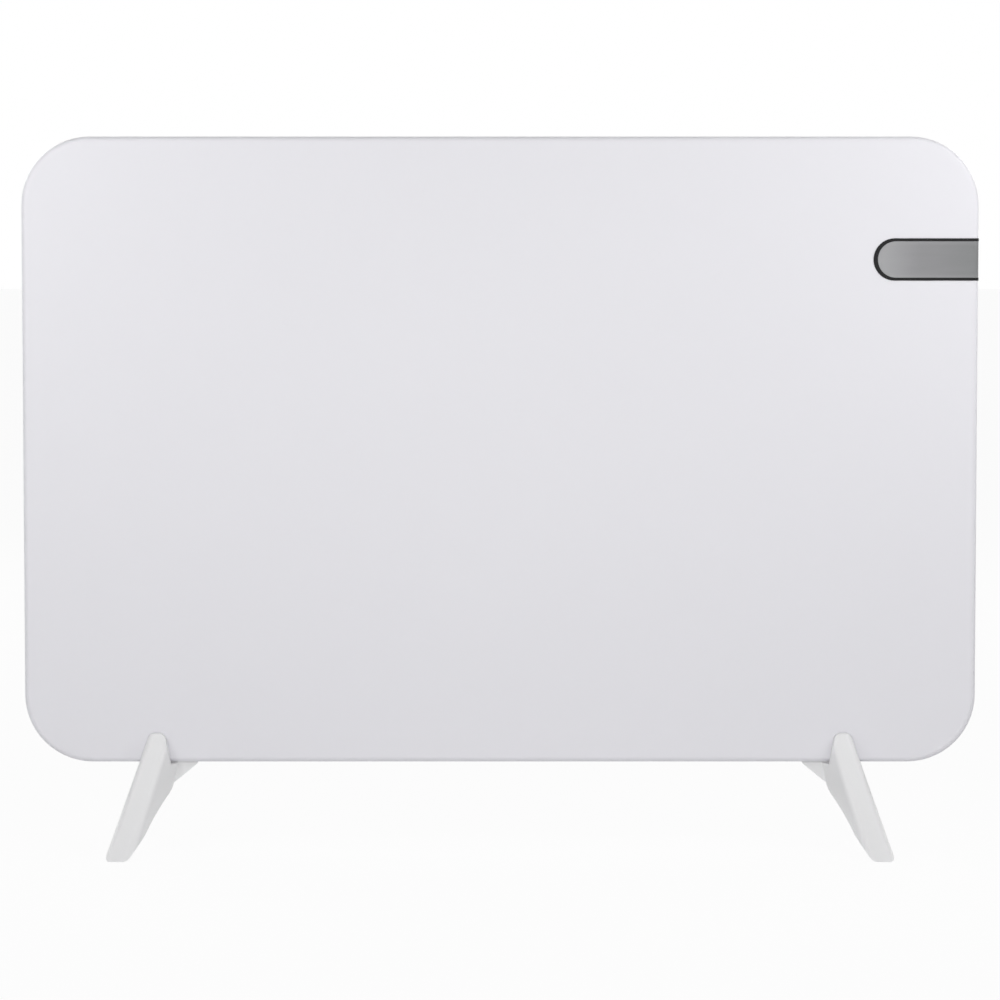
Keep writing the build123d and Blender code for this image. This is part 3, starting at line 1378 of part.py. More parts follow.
def element_leads():
    """Leads of the heating circuit: board, cut-outs and both busbar posts."""
    bar_left, bar_right = busbar_x()
    cut_left, cut_right = CUTOUT_PLACES
    feed_start = port(FEED_PORT, True)
    feed = [
        feed_start,
        (feed_start[0], PORT_Y, BOX_TOP + 14),
        (feed_start[0] - 10, 6.6, BOX_TOP + 52),
        (feed_start[0] - 40, 2.5, CUTOUT_Z - 20),
        (feed_start[0] - 84, FOIL_LEAD_Y, CUTOUT_Z - 3),
        (cut_right + TAB_REACH + 46, FOIL_LEAD_Y, CUTOUT_Z + 3),
        (cut_right + TAB_REACH + 22, TAB_MIDDLE, CUTOUT_Z),
        (cut_right + TAB_REACH, TAB_MIDDLE, CUTOUT_Z),
    ]
    link = [
        (cut_right - TAB_REACH, TAB_MIDDLE, CUTOUT_Z),
        (cut_right - TAB_REACH - 40, FOIL_LEAD_Y, CUTOUT_Z),
        (cut_right - TAB_REACH - 95, FOIL_LEAD_Y, CUTOUT_Z + 9),
        (cut_right - TAB_REACH - 150, FOIL_LEAD_Y, CUTOUT_Z + 6),
        (cut_left + TAB_REACH + 175, FOIL_LEAD_Y, CUTOUT_Z - 3),
        (cut_left + TAB_REACH + 120, FOIL_LEAD_Y, CUTOUT_Z - 7),
        (cut_left + TAB_REACH + 65, FOIL_LEAD_Y, CUTOUT_Z - 4),
        (cut_left + TAB_REACH + 25, FOIL_LEAD_Y, CUTOUT_Z),
        (cut_left + TAB_REACH, TAB_MIDDLE, CUTOUT_Z),
    ]
    post_y = FOIL_BACK + BUS_POST_HEAD_HEIGHT / 2
    left = [
        (cut_left - TAB_REACH, TAB_MIDDLE, CUTOUT_Z),
        (cut_left - TAB_REACH - 40, FOIL_LEAD_Y, CUTOUT_Z),
        (cut_left - TAB_REACH - 88, FOIL_LEAD_Y, CUTOUT_Z - 12),
        (bar_left + 62, FOIL_LEAD_Y, BUS_POST_Z + 44),
        (bar_left + 34, post_y, BUS_POST_Z),
        (bar_left + BUS_POST_HEAD + SOLDER_GAP, post_y, BUS_POST_Z),
    ]
    back_start = port(RETURN_PORT, True)
    right = [
        back_start,
        (back_start[0], PORT_Y, BOX_TOP + 8),
        (back_start[0] - 14, PORT_Y, BUS_POST_Z - 2),
        (bar_right + 28, post_y, BUS_POST_Z),
        (bar_right + BUS_POST_HEAD + SOLDER_GAP, post_y, BUS_POST_Z),
    ]
    names = ("cutout_feed_lead", "cutout_link_lead", "left_element_lead", "right_element_lead")
    routes = (feed, link, left, right)
    return {name: lead(name, route, LEAD_DIAMETER) for name, route in zip(names, routes)}


def leg_reach(z):
    """Distance of the leg's front line from the middle plane at a height."""
    return TOE_REACH - LEG_RAKE * z + LEG_HOLLOW * z * z


def leg_outer(z):
    """Outer side of the leg at a height."""
    return TOE_OUTER - OUTER_SPLAY * z


def leg_ridge(z):
    """Inner edge of the leg's front face at a height."""
    return TOE_RIDGE - RIDGE_SPLAY * z


def leg_flare(z):
    """How far the leg widens inwards from its front face to the middle plane."""
    return FLARE * min(z / FLARE_HEIGHT, 1) ** FLARE_SWELL


FINGER_TOP = BOTTOM + FINGER_HEIGHT
SADDLE = BOTTOM - SLOT_PAD


def leg_section(z):
    """Level section through both legs, as one block from front to back."""
    reach = leg_reach(z)
    ridge = leg_ridge(z)
    outer = leg_outer(z)
    inner = ridge - leg_flare(z)
    corners = [
        (ridge, -reach),
        (outer, -reach),
        (outer, reach),
        (ridge + REAR_TUCK, reach),
        (inner, BACK),
        (inner, -BACK),
    ]
    return Pos(0, 0, z) * Polygon(*corners, align=None)


def leg_block():
    """Splayed block of both legs, with rounded front and back edges."""
    levels = (0, FLARE_HEIGHT / 2, FLARE_HEIGHT, SADDLE, FINGER_TOP)
    body = loft([leg_section(z) for z in levels])
    long_edges = [edge for edge in body.edges() if edge.bounding_box().size.Z > FINGER_HEIGHT]
    ends = [edge for edge in long_edges if abs((edge @ 0.5).Y) > BACK + LEG_EDGE_ROUNDING]
    return fillet(ends, LEG_EDGE_ROUNDING)


def leg_front_view():
    """Front outline of the legs, with the finger's round top and the toe's corners."""
    outline = Polygon(
        (TOE_OUTER, 0),
        (TOE_INNER, 0),
        TOE_KNEE,
        (FOOT_BACK_INNER, SADDLE - SLOT_PAD),
        (FOOT_BACK_INNER, SADDLE),
        (FINGER_ROOT_INNER, SADDLE),
        (FINGER_TOP_INNER, FINGER_TOP),
        (leg_outer(FINGER_TOP), FINGER_TOP),
        align=None,
    )
    corners = outline.vertices().sort_by(Axis.Y)
    outline = fillet(corners[-2:], FINGER_TOP_ROUNDING)
    toe = outline.vertices().sort_by(Axis.Y)[:2].sort_by(Axis.X)
    outline = fillet(toe[0], TOE_INNER_ROUNDING)
    toe = outline.vertices().sort_by(Axis.Y)[:3].sort_by(Axis.X)
    return fillet(toe[-1], TOE_OUTER_ROUNDING)


def arch_space():
    """Space between the front leg and the back leg."""
    plane = Plane(origin=(0, 0, 0), x_dir=(0, 1, 0), z_dir=(1, 0, 0))
    profile = Polygon((-ARCH_HALF_WIDTH, 0), (ARCH_HALF_WIDTH, 0), (0, ARCH_HEIGHT), align=None)
    profile = fillet(profile.vertices().sort_by(Axis.Y)[-1], ARCH_ROUNDING)
    skirt = Polygon(
        (-ARCH_HALF_WIDTH, 0), (-ARCH_HALF_WIDTH, -THROUGH), (ARCH_HALF_WIDTH, -THROUGH),
        (ARCH_HALF_WIDTH, 0), align=None,
    )
    return extrude(plane * (profile + skirt), amount=TOE_OUTER + THROUGH, dir=(1, 0, 0))


def foot_gusset():
    """Concave web on the inner side that carries the back plate under the panel."""
    root = (leg_outer(GUSSET_LOW_Z) + GUSSET_LOW_X) / 2
    tip_low = SADDLE - GUSSET_TIP_DEPTH
    outline = make_face(
        Polyline((GUSSET_TIP, tip_low), (GUSSET_TIP, SADDLE), (root, SADDLE), (root, GUSSET_LOW_Z),
                 (GUSSET_LOW_X, GUSSET_LOW_Z))
        + ThreePointArc((GUSSET_LOW_X, GUSSET_LOW_Z), GUSSET_SAG, (GUSSET_TIP, tip_low))
    )
    return slab(outline, -GUSSET_FRONT, BACK + FOOT_BACK_PLATE)


def foot_back_plate():
    """Upright plate behind the panel that takes the two screws."""
    top = BOTTOM + FOOT_BACK_TOP
    outline = Polygon(
        (GUSSET_TIP, SADDLE - GUSSET_TIP_DEPTH),
        (FOOT_BACK_INNER, top),
        (FOOT_BACK_OUTER, top),
        (leg_outer(SADDLE), SADDLE - GUSSET_TIP_DEPTH),
        align=None,
    )
    outline = fillet(outline.vertices().sort_by(Axis.Y)[-2:], FOOT_BACK_ROUNDING)
    return slab(outline, BACK, BACK + FOOT_BACK_PLATE)


def right_foot():
    """Moulded right foot: two legs, front finger, gusset and back plate in one piece."""
    body = leg_block() & slab(leg_front_view(), -TOE_REACH, TOE_REACH)
    body -= arch_space()
    body -= block(0, TOE_OUTER, -BACK - SLOT_PAD, BACK, SADDLE, FINGER_TOP + THROUGH)
    body += foot_gusset()
    body += foot_back_plate()
    for height in FOOT_SCREW_HEIGHTS:
        body -= rod_y(FOOT_SCREW_X, BOTTOM + height, BACK, BACK + TOE_REACH, FOOT_SCREW_HOLE)
    for side in (-1, 1):
        body -= toe_pad_space(side)
    return body


def toe_pad_space(side):
    """Pad of one toe, sunk in the toe's flat underside."""
    outer = TOE_REACH - FLOOR_PAD_INSET
    span = sorted((side * outer, side * (outer - FLOOR_PAD_LENGTH)))
    pad = block(FLOOR_PAD_INNER, FLOOR_PAD_OUTER, *span, 0, FLOOR_PAD_THICKNESS)
    return fillet(pad.edges().filter_by(Axis.Z), FLOOR_PAD_INSET)


def both_sides(solids):
    """Solids of the right foot and their mirror images."""
    return list(solids) + [mirror(solid, about=Plane.YZ) for solid in solids]


def foot_screws():
    """Pan-head screws through the back plates into the threaded plates."""
    screws = []
    seat = BACK + FOOT_BACK_PLATE
    for places in foot_screw_places():
        for x, z in places:
            shank = rod_y(x, z, seat - FOOT_SCREW_LENGTH, seat, FOOT_SCREW_RADIUS)
            head = rod_y(x, z, seat, seat + FOOT_SCREW_HEAD_HEIGHT, FOOT_SCREW_HEAD)
            head = fillet(head.faces().sort_by(Axis.Y)[-1].edges(), FOOT_SCREW_HEAD_HEIGHT / 2)
            screws.append(shank + head)
    return screws


def slot_pads():
    """Soft pads between each foot and the panel: one behind the finger, one under the edge."""
    inner = FINGER_ROOT_INNER + LEG_EDGE_ROUNDING
    outer = leg_outer(SADDLE) - LEG_EDGE_ROUNDING
    low = BOTTOM + EDGE_ROUNDING
    high = FINGER_TOP - FINGER_TOP_ROUNDING
    finger = block(inner, outer - EDGE_ROUNDING, FACE - SLOT_PAD, FACE, low, high)
    saddle = block(GUSSET_TIP, outer, FACE + EDGE_ROUNDING, TRAY_REAR - EDGE_ROUNDING, SADDLE, BOTTOM)
    return both_sides([finger, saddle])


def write(name, solids):
    """Write one node, a single solid or a group of like ones."""
    if isinstance(solids, (list, tuple)):
        solids = Compound(children=list(solids))
    export_step(solids, os.path.join("parts", name + ".step"))


def main():
    """Build every piece and write it under its own name."""
    os.makedirs("parts", exist_ok=True)
    write("front_panel", front_panel())
    write("control_bezel", control_bezel())
    write("control_lens", control_lens())
    write("display_housing", display_housing())
    write("display_board", display_board())
    write("display_screws", display_screws())
    write("led_display", led_display())
    write("touch_springs", touch_springs())
    write("buzzer", buzzer())
    write("heating_film", heating_film())
    write("busbars", busbars())
    write("insulating_sheet", insulating_sheet())
    write("insulation_board", insulation_board())
    write("reflector_foil", reflector_foil())
    write("busbar_posts", busbar_posts())
    write("side_rails", side_rails())
    write("retaining_straps", retaining_straps())
    write("strap_screws", strap_screws())
    write("thermal_cutouts", thermal_cutouts())
    write("cover_brackets", cover_brackets())
    write("cover_screws", cover_screws())
    write("wall_nut_plates", wall_nut_plates())
    write("foot_nut_plates", foot_nut_plates())
    write("rear_cover", rear_cover())
    write("rocker_switch_body", rocker_switch_body())
    write("rocker", rocker())
    write("switch_blades", switch_blades())
    write("switch_connectors", switch_connectors())
    write("power_box", power_box())
    write("power_box_lid", power_box_lid())
    write("box_tapes", box_tapes())
    write("power_board", power_board())
    write("board_screws", board_screws())
    write("board_sockets", board_sockets())
    write("relay", relay())
    write("transformer", transformer())
    write("filter_capacitor", filter_capacitor())
    write("bulk_capacitors", bulk_capacitors())
    write("terminal_bracket", terminal_bracket())
    write("terminal_block", terminal_block())
    write("terminal_screws", terminal_screws())
    write("earth_stud", earth_stud())
    write("earth_ring", earth_ring())
    write("cord_gland", cord_gland())
    write("gland_nut", gland_nut())
    write("tilt_switch_case", tilt_switch_case())
    write("tilt_switch_lid", tilt_switch_lid())
    write("tilt_pivot_pin", tilt_pivot_pin())
    write("tilt_pendulum", tilt_pendulum())
    write("room_sensor", room_sensor())
    write("sensor_holder", sensor_holder())
    leads = {
        "mains_leads": [neutral_lead(), live_lead(), switched_live_lead(), earth_lead()],
        "signal_leads": tilt_leads() + [sensor_lead()],
        "display_cable": display_cable(),
        "element_leads": list(element_leads().values()),
    }
    for name, solids in leads.items():
        write(name, solids)
    foot = right_foot()
    write("right_foot", foot)
    write("left_foot", mirror(foot, about=Plane.YZ))
    write("foot_screws", foot_screws())
    write("floor_pads", both_sides([toe_pad_space(side) for side in (-1, 1)]))
    write("slot_pads", slot_pads())


main()
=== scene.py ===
import logging
import math
from dataclasses import dataclass
from enum import Enum

import bpy
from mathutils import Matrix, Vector


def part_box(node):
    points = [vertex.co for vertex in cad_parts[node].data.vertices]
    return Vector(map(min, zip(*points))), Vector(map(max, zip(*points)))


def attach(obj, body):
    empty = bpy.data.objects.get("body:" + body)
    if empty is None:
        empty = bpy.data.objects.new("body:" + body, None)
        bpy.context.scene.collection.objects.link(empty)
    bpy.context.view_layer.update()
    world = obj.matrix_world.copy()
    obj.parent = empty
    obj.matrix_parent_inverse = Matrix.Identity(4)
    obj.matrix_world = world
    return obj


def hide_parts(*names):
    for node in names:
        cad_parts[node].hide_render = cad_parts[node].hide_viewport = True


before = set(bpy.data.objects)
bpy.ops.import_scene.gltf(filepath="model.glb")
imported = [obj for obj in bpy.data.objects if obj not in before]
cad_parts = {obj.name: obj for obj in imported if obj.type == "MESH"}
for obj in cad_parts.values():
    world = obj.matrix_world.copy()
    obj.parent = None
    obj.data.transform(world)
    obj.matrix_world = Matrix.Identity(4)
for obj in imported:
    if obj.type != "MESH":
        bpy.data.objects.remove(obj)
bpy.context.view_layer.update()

REPORT = logging.getLogger("panel heater")

Colour = tuple[float, float, float]
Point = tuple[float, float, float]


class Body(Enum):
    """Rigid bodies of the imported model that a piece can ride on."""

    HEATER = "heater"
    ROCKER = "rocker"
    PENDULUM = "pendulum"


class Axis(Enum):
    """Direction that a brushed or drawn grain runs in."""

    ALONG_X = (1.0, 14.0, 14.0)
    ALONG_Y = (14.0, 1.0, 14.0)
    ALONG_Z = (14.0, 14.0, 1.0)


class Wire:
    """Number output of a node, used in expressions that add Math nodes."""

    def __init__(self, graph: "Graph", socket: bpy.types.NodeSocket) -> None:
        """Keep the socket and the graph that it belongs to.

        Args:
            graph: Graph that further nodes are added to.
            socket: Output socket that the wire starts at.
        """
        self.graph = graph
        self.socket = socket

    def maths(self, operation: str, *values: "Wire | float", swapped: bool = False) -> "Wire":
        """Add one Math node.

        Args:
            operation: Name of the Math node's operation.
            values: Further inputs after this wire.
            swapped: Whether this wire comes second.

        Returns:
            The Math node's result.
        """
        inputs = [self, *values]
        if swapped:
            inputs.reverse()
        return self.graph.node(
            "ShaderNodeMath", {"operation": operation}, dict(enumerate(inputs))
        )

    def __add__(self, other: "Wire | float") -> "Wire":
        """Sum of the two."""
        return self.maths("ADD", other)

    def __radd__(self, other: float) -> "Wire":
        """Sum of the two."""
        return self.maths("ADD", other)

    def __sub__(self, other: "Wire | float") -> "Wire":
        """This less the other."""
        return self.maths("SUBTRACT", other)

    def __rsub__(self, other: float) -> "Wire":
        """The other less this."""
        return self.maths("SUBTRACT", other, swapped=True)

    def __mul__(self, other: "Wire | float") -> "Wire":
        """Product of the two."""
        return self.maths("MULTIPLY", other)

    def __truediv__(self, other: "Wire | float") -> "Wire":
        """This over the other."""
        return self.maths("DIVIDE", other)

    def __pow__(self, other: float) -> "Wire":
        """This raised to a power."""
        return self.maths("POWER", other)

    def __abs__(self) -> "Wire":
        """Size without its sign."""
        return self.maths("ABSOLUTE")

    def wrapped(self) -> "Wire":
        """Part after the decimal point."""
        return self.maths("FRACT")

    def below(self, limit: float) -> "Wire":
        """One where this is under a limit, and zero elsewhere."""
        return self.maths("LESS_THAN", limit)

    def faded(self, low: float, high: float) -> "Wire":
        """Smooth step from zero at one value to one at another.

        Args:
            low: Value at which the step starts.
            high: Value at which the step ends.

        Returns:
            A number from zero to one.
        """
        return self.graph.node(
            "ShaderNodeMapRange",
            {"interpolation_type": "SMOOTHSTEP"},
            {"Value": self, "From Min": low, "From Max": high},
        )


class Graph:
    """Node tree that is written by short calls."""

    def __init__(self, tree: bpy.types.NodeTree) -> None:
        """Keep the tree.

        Args:
            tree: Material, world or geometry tree to write to.
        """
        self.tree = tree

    def node(
        self,
        kind: str,
        settings: dict[str, object] | None = None,
        inputs: dict[str | int, object] | None = None,
        output: str | int = 0,
    ) -> Wire | None:
        """Add any node.

        Args:
            kind: Type name of the node.
            settings: The node's own settings, which are set first.
            inputs: Values or wires for its sockets, by name or place.
            output: Name or place of the output to return.

        Returns:
            A wire from the chosen output, or nothing where the node has none.
        """
        made = self.tree.nodes.new(kind)
        for name, value in (settings or {}).items():
            setattr(made, name, value)
        for name, value in (inputs or {}).items():
            socket = made.inputs[name]
            if isinstance(value, Wire):
                self.tree.links.new(value.socket, socket)
            else:
                socket.default_value = value
        return Wire(self, made.outputs[output]) if made.outputs else None


class Surface(Graph):
    """Material that is written as a recipe of colour, gloss and relief."""

    def __init__(self, name: str) -> None:
        """Start an empty material.

        Args:
            name: Name of the material.
        """
        self.material = bpy.data.materials.new(name)
        self.material.use_nodes = True
        super().__init__(self.material.node_tree)
        self.tree.nodes.clear()
        self.place = self.node("ShaderNodeTexCoord", output="Object")

    def along(self, axis: str) -> Wire:
        """Place along one axis of the object, in metres."""
        return self.node("ShaderNodeSeparateXYZ", inputs={0: self.place}, output=axis)

    def stretched(self, scale: Point, turn: Point = (0.0, 0.0, 0.0)) -> Wire:
        """Object coordinates after a Mapping node.

        Args:
            scale: Factor along each axis.
            turn: Turn about each axis, in radians.

        Returns:
            The mapped coordinates.
        """
        return self.node(
            "ShaderNodeMapping",
            {"vector_type": "POINT"},
            {"Vector": self.place, "Scale": scale, "Rotation": turn},
        )

    def noise(self, size: float, detail: float = 2.0, at: Wire | None = None) -> Wire:
        """Soft noise.

        Args:
            size: Size of its patches, in metres.
            detail: Octaves of finer noise on top.
            at: Coordinates to read in place of the object's own.

        Returns:
            A number around one half.
        """
        inputs = {"Vector": at or self.place, "Scale": 1.0 / size, "Detail": detail}
        return self.node("ShaderNodeTexNoise", inputs=inputs)

    def cells(self, size: float, at: Wire | None = None) -> Wire:
        """Distance to the nearest of many scattered points.

        Args:
            size: Mean distance between the points, in metres.
            at: Coordinates to read in place of the object's own.

        Returns:
            A number that is zero at each point.
        """
        inputs = {"Vector": at or self.place, "Scale": 1.0 / size}
        return self.node("ShaderNodeTexVoronoi", inputs=inputs)

    def blend(self, factor: Wire | float, low: "Colour | Wire", high: "Colour | Wire") -> Wire:
        """Mix of two colours.

        Args:
            factor: Zero for the first colour and one for the second.
            low: First colour.
            high: Second colour.

        Returns:
            The mixed colour.
        """
        first = low if isinstance(low, Wire) else (*low, 1.0)
        second = high if isinstance(high, Wire) else (*high, 1.0)
        return self.node(
            "ShaderNodeMix",
            {"data_type": "RGBA", "clamp_factor": True},
            {0: factor, 6: first, 7: second},
            output=2,
        )

    def relief(self, height: Wire, depth: float, under: Wire | None = None) -> Wire:
        """Bump that follows a height.

        Args:
            height: Height from zero to one.
            depth: Depth of the relief, in metres.
            under: Coarser relief that this one lies on.

        Returns:
            The bumped normal.
        """
        inputs = {"Height": height, "Distance": depth, "Strength": 1.0}
        if under:
            inputs["Normal"] = under
        return self.node("ShaderNodeBump", inputs=inputs)

    def finish(self, **sockets: object) -> bpy.types.Material:
        """Close the recipe with its shader.

        Args:
            sockets: Values or wires of the shader, with underscores for spaces.

        Returns:
            The finished material.
        """
        inputs = {name.replace("_", " "): value for name, value in sockets.items()}
        shader = self.node("ShaderNodeBsdfPrincipled", inputs=inputs)
        self.node("ShaderNodeOutputMaterial", inputs={"Surface": shader})
        REPORT.info("finish %s", self.material.name)
        return self.material


def scaled(colour: Colour, factor: float) -> Colour:
    """Colour made lighter or darker.

    Args:
        colour: Colour to change.
        factor: Factor for each channel.

    Returns:
        The changed colour, held at one.
    """
    return tuple(min(1.0, channel * factor) for channel in colour)


@dataclass(frozen=True)
class Finish:
    """Base of every finish. A finish is written once and shared by the pieces that name it."""

    name: str

    def write(self) -> bpy.types.Material:
        """Write the material."""
        raise NotImplementedError

    def material(self) -> bpy.types.Material:
        """Material of this finish, written the first time that it is asked for."""
        return bpy.data.materials.get(self.name) or self.write()


@dataclass(frozen=True)
class PowderCoat(Finish):
    """Baked powder coat on sheet steel, with a fine orange peel."""

    colour: Colour = (0.80, 0.794, 0.832)
    roughness: float = 0.38
    peel_size: float = 0.0014
    peel_depth: float = 0.000012
    cloud_size: float = 0.18
    speck_size: float = 0.0011
    speck_reach: float = 0.22
    refraction: float = 1.48

    def write(self) -> bpy.types.Material:
        """Write the material."""
        surface = Surface(self.name)
        cloud = surface.noise(self.cloud_size, 3.0)
        peel = surface.noise(self.peel_size, 1.0)
        speck = surface.cells(self.speck_size).faded(0.0, self.speck_reach)
        tint = surface.blend(cloud, scaled(self.colour, 0.988), scaled(self.colour, 1.008))
        return surface.finish(
            Base_Color=surface.blend(speck, scaled(self.colour, 0.975), tint),
            Roughness=self.roughness + (cloud - 0.5) * 0.05 + (peel - 0.5) * 0.04,
            Normal=surface.relief(peel, self.peel_depth),
            IOR=self.refraction,
        )


@dataclass(frozen=True)
class MouldedPlastic(Finish):
    """Injection-moulded plastic with a spark-eroded grain."""

    colour: Colour = (0.8, 0.8, 0.8)
    roughness: float = 0.5
    grain_size: float = 0.0006
    grain_depth: float = 0.00001
    shade: float = 0.03
    gloss: float = 0.5
    flow_size: float = 0.05
    pit_spread: float = 1.6
    pit_share: float = 0.4

    def write(self) -> bpy.types.Material:
        """Write the material."""
        surface = Surface(self.name)
        flow = surface.noise(self.flow_size, 3.0, surface.stretched((1.0, 1.0, 0.45)))
        grain = surface.noise(self.grain_size, 2.0)
        pits = surface.cells(self.grain_size * self.pit_spread)
        height = grain * (1.0 - self.pit_share) + pits * self.pit_share
        low = scaled(self.colour, 1.0 - self.shade)
        high = scaled(self.colour, 1.0 + self.shade)
        return surface.finish(
            Base_Color=surface.blend(flow, low, high),
            Roughness=self.roughness + (grain - 0.5) * 0.12,
            Normal=surface.relief(height, self.grain_depth),
            Specular_IOR_Level=self.gloss,
        )


@dataclass(frozen=True)
class PolishedPlastic(Finish):
    """Plastic moulded in a polished tool, with faint wiping marks."""

    colour: Colour = (0.02, 0.02, 0.02)
    roughness: float = 0.08
    gloss: float = 0.5
    shade: float = 0.06
    wipe_size: float = 0.006
    wipe_depth: float = 0.000004
    dust_size: float = 0.0016
    dust_reach: float = 0.10

    def write(self) -> bpy.types.Material:
        """Write the material."""
        surface = Surface(self.name)
        wipes = surface.noise(self.wipe_size, 4.0, surface.stretched((0.25, 1.0, 1.0)))
        dust = surface.cells(self.dust_size).faded(0.0, self.dust_reach)
        low = scaled(self.colour, 1.0 - self.shade)
        high = scaled(self.colour, 1.0 + self.shade)
        return surface.finish(
            Base_Color=surface.blend(wipes, low, high),
            Roughness=self.roughness + wipes * 0.05 + (1.0 - dust) * 0.1,
            Normal=surface.relief(wipes, self.wipe_depth),
            Specular_IOR_Level=self.gloss,
        )


@dataclass(frozen=True)
class SmokedLens(Finish):
    """Dead-front lens, printed grey from behind, that is darker from its round end towards the right, with
    a painted highlight along its top and bottom edges.
    """

    round_end: Colour = (0.34, 0.34, 0.35)
    middle: Colour = (0.235, 0.235, 0.243)
    side: Colour = (0.20, 0.205, 0.208)
    left: float = 0.358
    right: float = 0.457
    low: float = 0.545
    high: float = 0.585
    roughness: float = 0.22
    gloss: float = 0.4
    edge_start: float = 0.62
    edge_end: float = 0.98
    painted_edge_highlight: float = 0.25
    haze_light: float = 0.10
    haze_size: float = 0.004
    haze_depth: float = 0.000006

    def write(self) -> bpy.types.Material:
        """Write the material."""
        surface = Surface(self.name)
        across = surface.along("X")
        upright = surface.along("Z")
        # grey that turns darker from the round end towards the right
        middle = (self.left + self.right) / 2
        first = across.faded(self.left, middle)
        second = across.faded(middle, self.right)
        grey_darker_rightward = surface.blend(second, surface.blend(first, self.round_end, self.middle), self.side)
        centre = (self.low + self.high) / 2
        half = (self.high - self.low) / 2
        # painted highlight: the base colour turns lighter towards the lens's top and bottom edges
        edge = (abs(upright - centre) / half).faded(self.edge_start, self.edge_end)
        haze = surface.noise(self.haze_size, 3.0, surface.stretched((0.08, 1.0, 1.0)))
        # painted edge highlight, plus lighter random haze
        light = edge * self.painted_edge_highlight + haze * self.haze_light
        return surface.finish(
            Base_Color=surface.blend(light, grey_darker_rightward, scaled(self.round_end, 1.25)),
            Roughness=self.roughness + haze * 0.06,
            Normal=surface.relief(haze, self.haze_depth),
            Specular_IOR_Level=self.gloss,
        )


@dataclass(frozen=True)
class SheetMetal(Finish):
    """Plated or rolled metal sheet with a directional grain."""

    colour: Colour = (0.62, 0.63, 0.64)
    roughness: float = 0.34
    grain: Axis = Axis.ALONG_Z
    stain: float = 0.10
    grain_size: float = 0.009
    grain_depth: float = 0.000012
    cloud_size: float = 0.022
    spangle_size: float = 0.009

    def write(self) -> bpy.types.Material:
        """Write the material."""
        surface = Surface(self.name)
        drawn = surface.noise(self.grain_size, 4.0, surface.stretched(self.grain.value))
        cloud = surface.noise(self.cloud_size, 4.0)
        spangle = surface.cells(self.spangle_size)
        tone = drawn * 0.5 + cloud * 0.3 + spangle * 0.2
        low = scaled(self.colour, 1.0 - self.stain)
        high = scaled(self.colour, 1.0 + self.stain)
        return surface.finish(
            Base_Color=surface.blend(tone, low, high),
            Metallic=1.0,
            Roughness=self.roughness + (drawn - 0.5) * 0.2 + (cloud - 0.5) * 0.1,
            Normal=surface.relief(drawn, self.grain_depth),
        )


@dataclass(frozen=True)
class CopperFoil(SheetMetal):
    """Soft copper strip with darker oxide clouds."""

    colour: Colour = (0.72, 0.36, 0.22)
    oxide: Colour = (0.30, 0.13, 0.08)
    grain_size: float = 0.006
    grain_depth: float = 0.00001
    cloud_size: float = 0.03

    def write(self) -> bpy.types.Material:
        """Write the material."""
        surface = Surface(self.name)
        drawn = surface.noise(self.grain_size, 3.0, surface.stretched(self.grain.value))
        cloud = surface.noise(self.cloud_size, 5.0).faded(0.45, 0.75)
        return surface.finish(
            Base_Color=surface.blend(cloud * 0.5, self.colour, self.oxide),
            Metallic=1.0,
            Roughness=self.roughness + drawn * 0.15,
            Normal=surface.relief(drawn, self.grain_depth),
        )


@dataclass(frozen=True)
class CarbonFilm(Finish):
    """Black heating film, printed in narrow bands that run between the busbars."""

    band: float = 0.012
    ink: Colour = (0.018, 0.018, 0.02)
    gap: Colour = (0.10, 0.095, 0.085)
    printed_share: float = 0.82
    ink_depth: float = 0.00003
    fleck_size: float = 0.001

    def write(self) -> bpy.types.Material:
        """Write the material."""
        surface = Surface(self.name)
        bands = (surface.along("Z") / self.band).wrapped()
        line = bands.below(self.printed_share)
        fleck = surface.noise(self.fleck_size, 2.0)
        ink = surface.blend(fleck, self.ink, scaled(self.ink, 2.0))
        return surface.finish(
            Base_Color=surface.blend(line, self.gap, ink),
            Roughness=0.45 - line * 0.12 + fleck * 0.08,
            Normal=surface.relief(line, self.ink_depth),
        )


@dataclass(frozen=True)
class MicaSheet(Finish):
    """Layered mica sheet with silvery flakes in a tan binder."""

    colour: Colour = (0.42, 0.33, 0.20)
    flake: Colour = (0.66, 0.58, 0.42)
    flake_size: float = 0.004
    flake_depth: float = 0.00004
    vein_size: float = 0.02

    def write(self) -> bpy.types.Material:
        """Write the material."""
        surface = Surface(self.name)
        flakes = surface.cells(self.flake_size).faded(0.1, 0.7)
        veins = surface.noise(self.vein_size, 5.0)
        return surface.finish(
            Base_Color=surface.blend(flakes * 0.6 + veins * 0.3, self.flake, self.colour),
            Roughness=0.32 + flakes * 0.25,
            Normal=surface.relief(flakes, self.flake_depth),
        )


@dataclass(frozen=True)
class MineralWool(Finish):
    """Pressed mineral wool board with matted fibres."""

    colour: Colour = (0.52, 0.43, 0.24)
    pale: Colour = (0.70, 0.63, 0.42)
    fibre_size: float = 0.003
    fibre_depth: float = 0.0004
    slimness: float = 0.18
    clump_size: float = 0.025

    def write(self) -> bpy.types.Material:
        """Write the material."""
        surface = Surface(self.name)
        flat = surface.stretched((self.slimness, 1.0, 1.0), (0.0, 0.5, 0.0))
        upright = surface.stretched((1.0, 1.0, self.slimness), (0.0, 0.4, 0.0))
        lying = surface.noise(self.fibre_size, 5.0, flat)
        crossing = surface.noise(self.fibre_size, 5.0, upright)
        clump = surface.noise(self.clump_size, 3.0)
        fibres = lying * 0.5 + crossing * 0.5
        return surface.finish(
            Base_Color=surface.blend(fibres * 0.7 + clump * 0.3, self.colour, self.pale),
            Roughness=0.92,
            Normal=surface.relief(fibres, self.fibre_depth),
        )


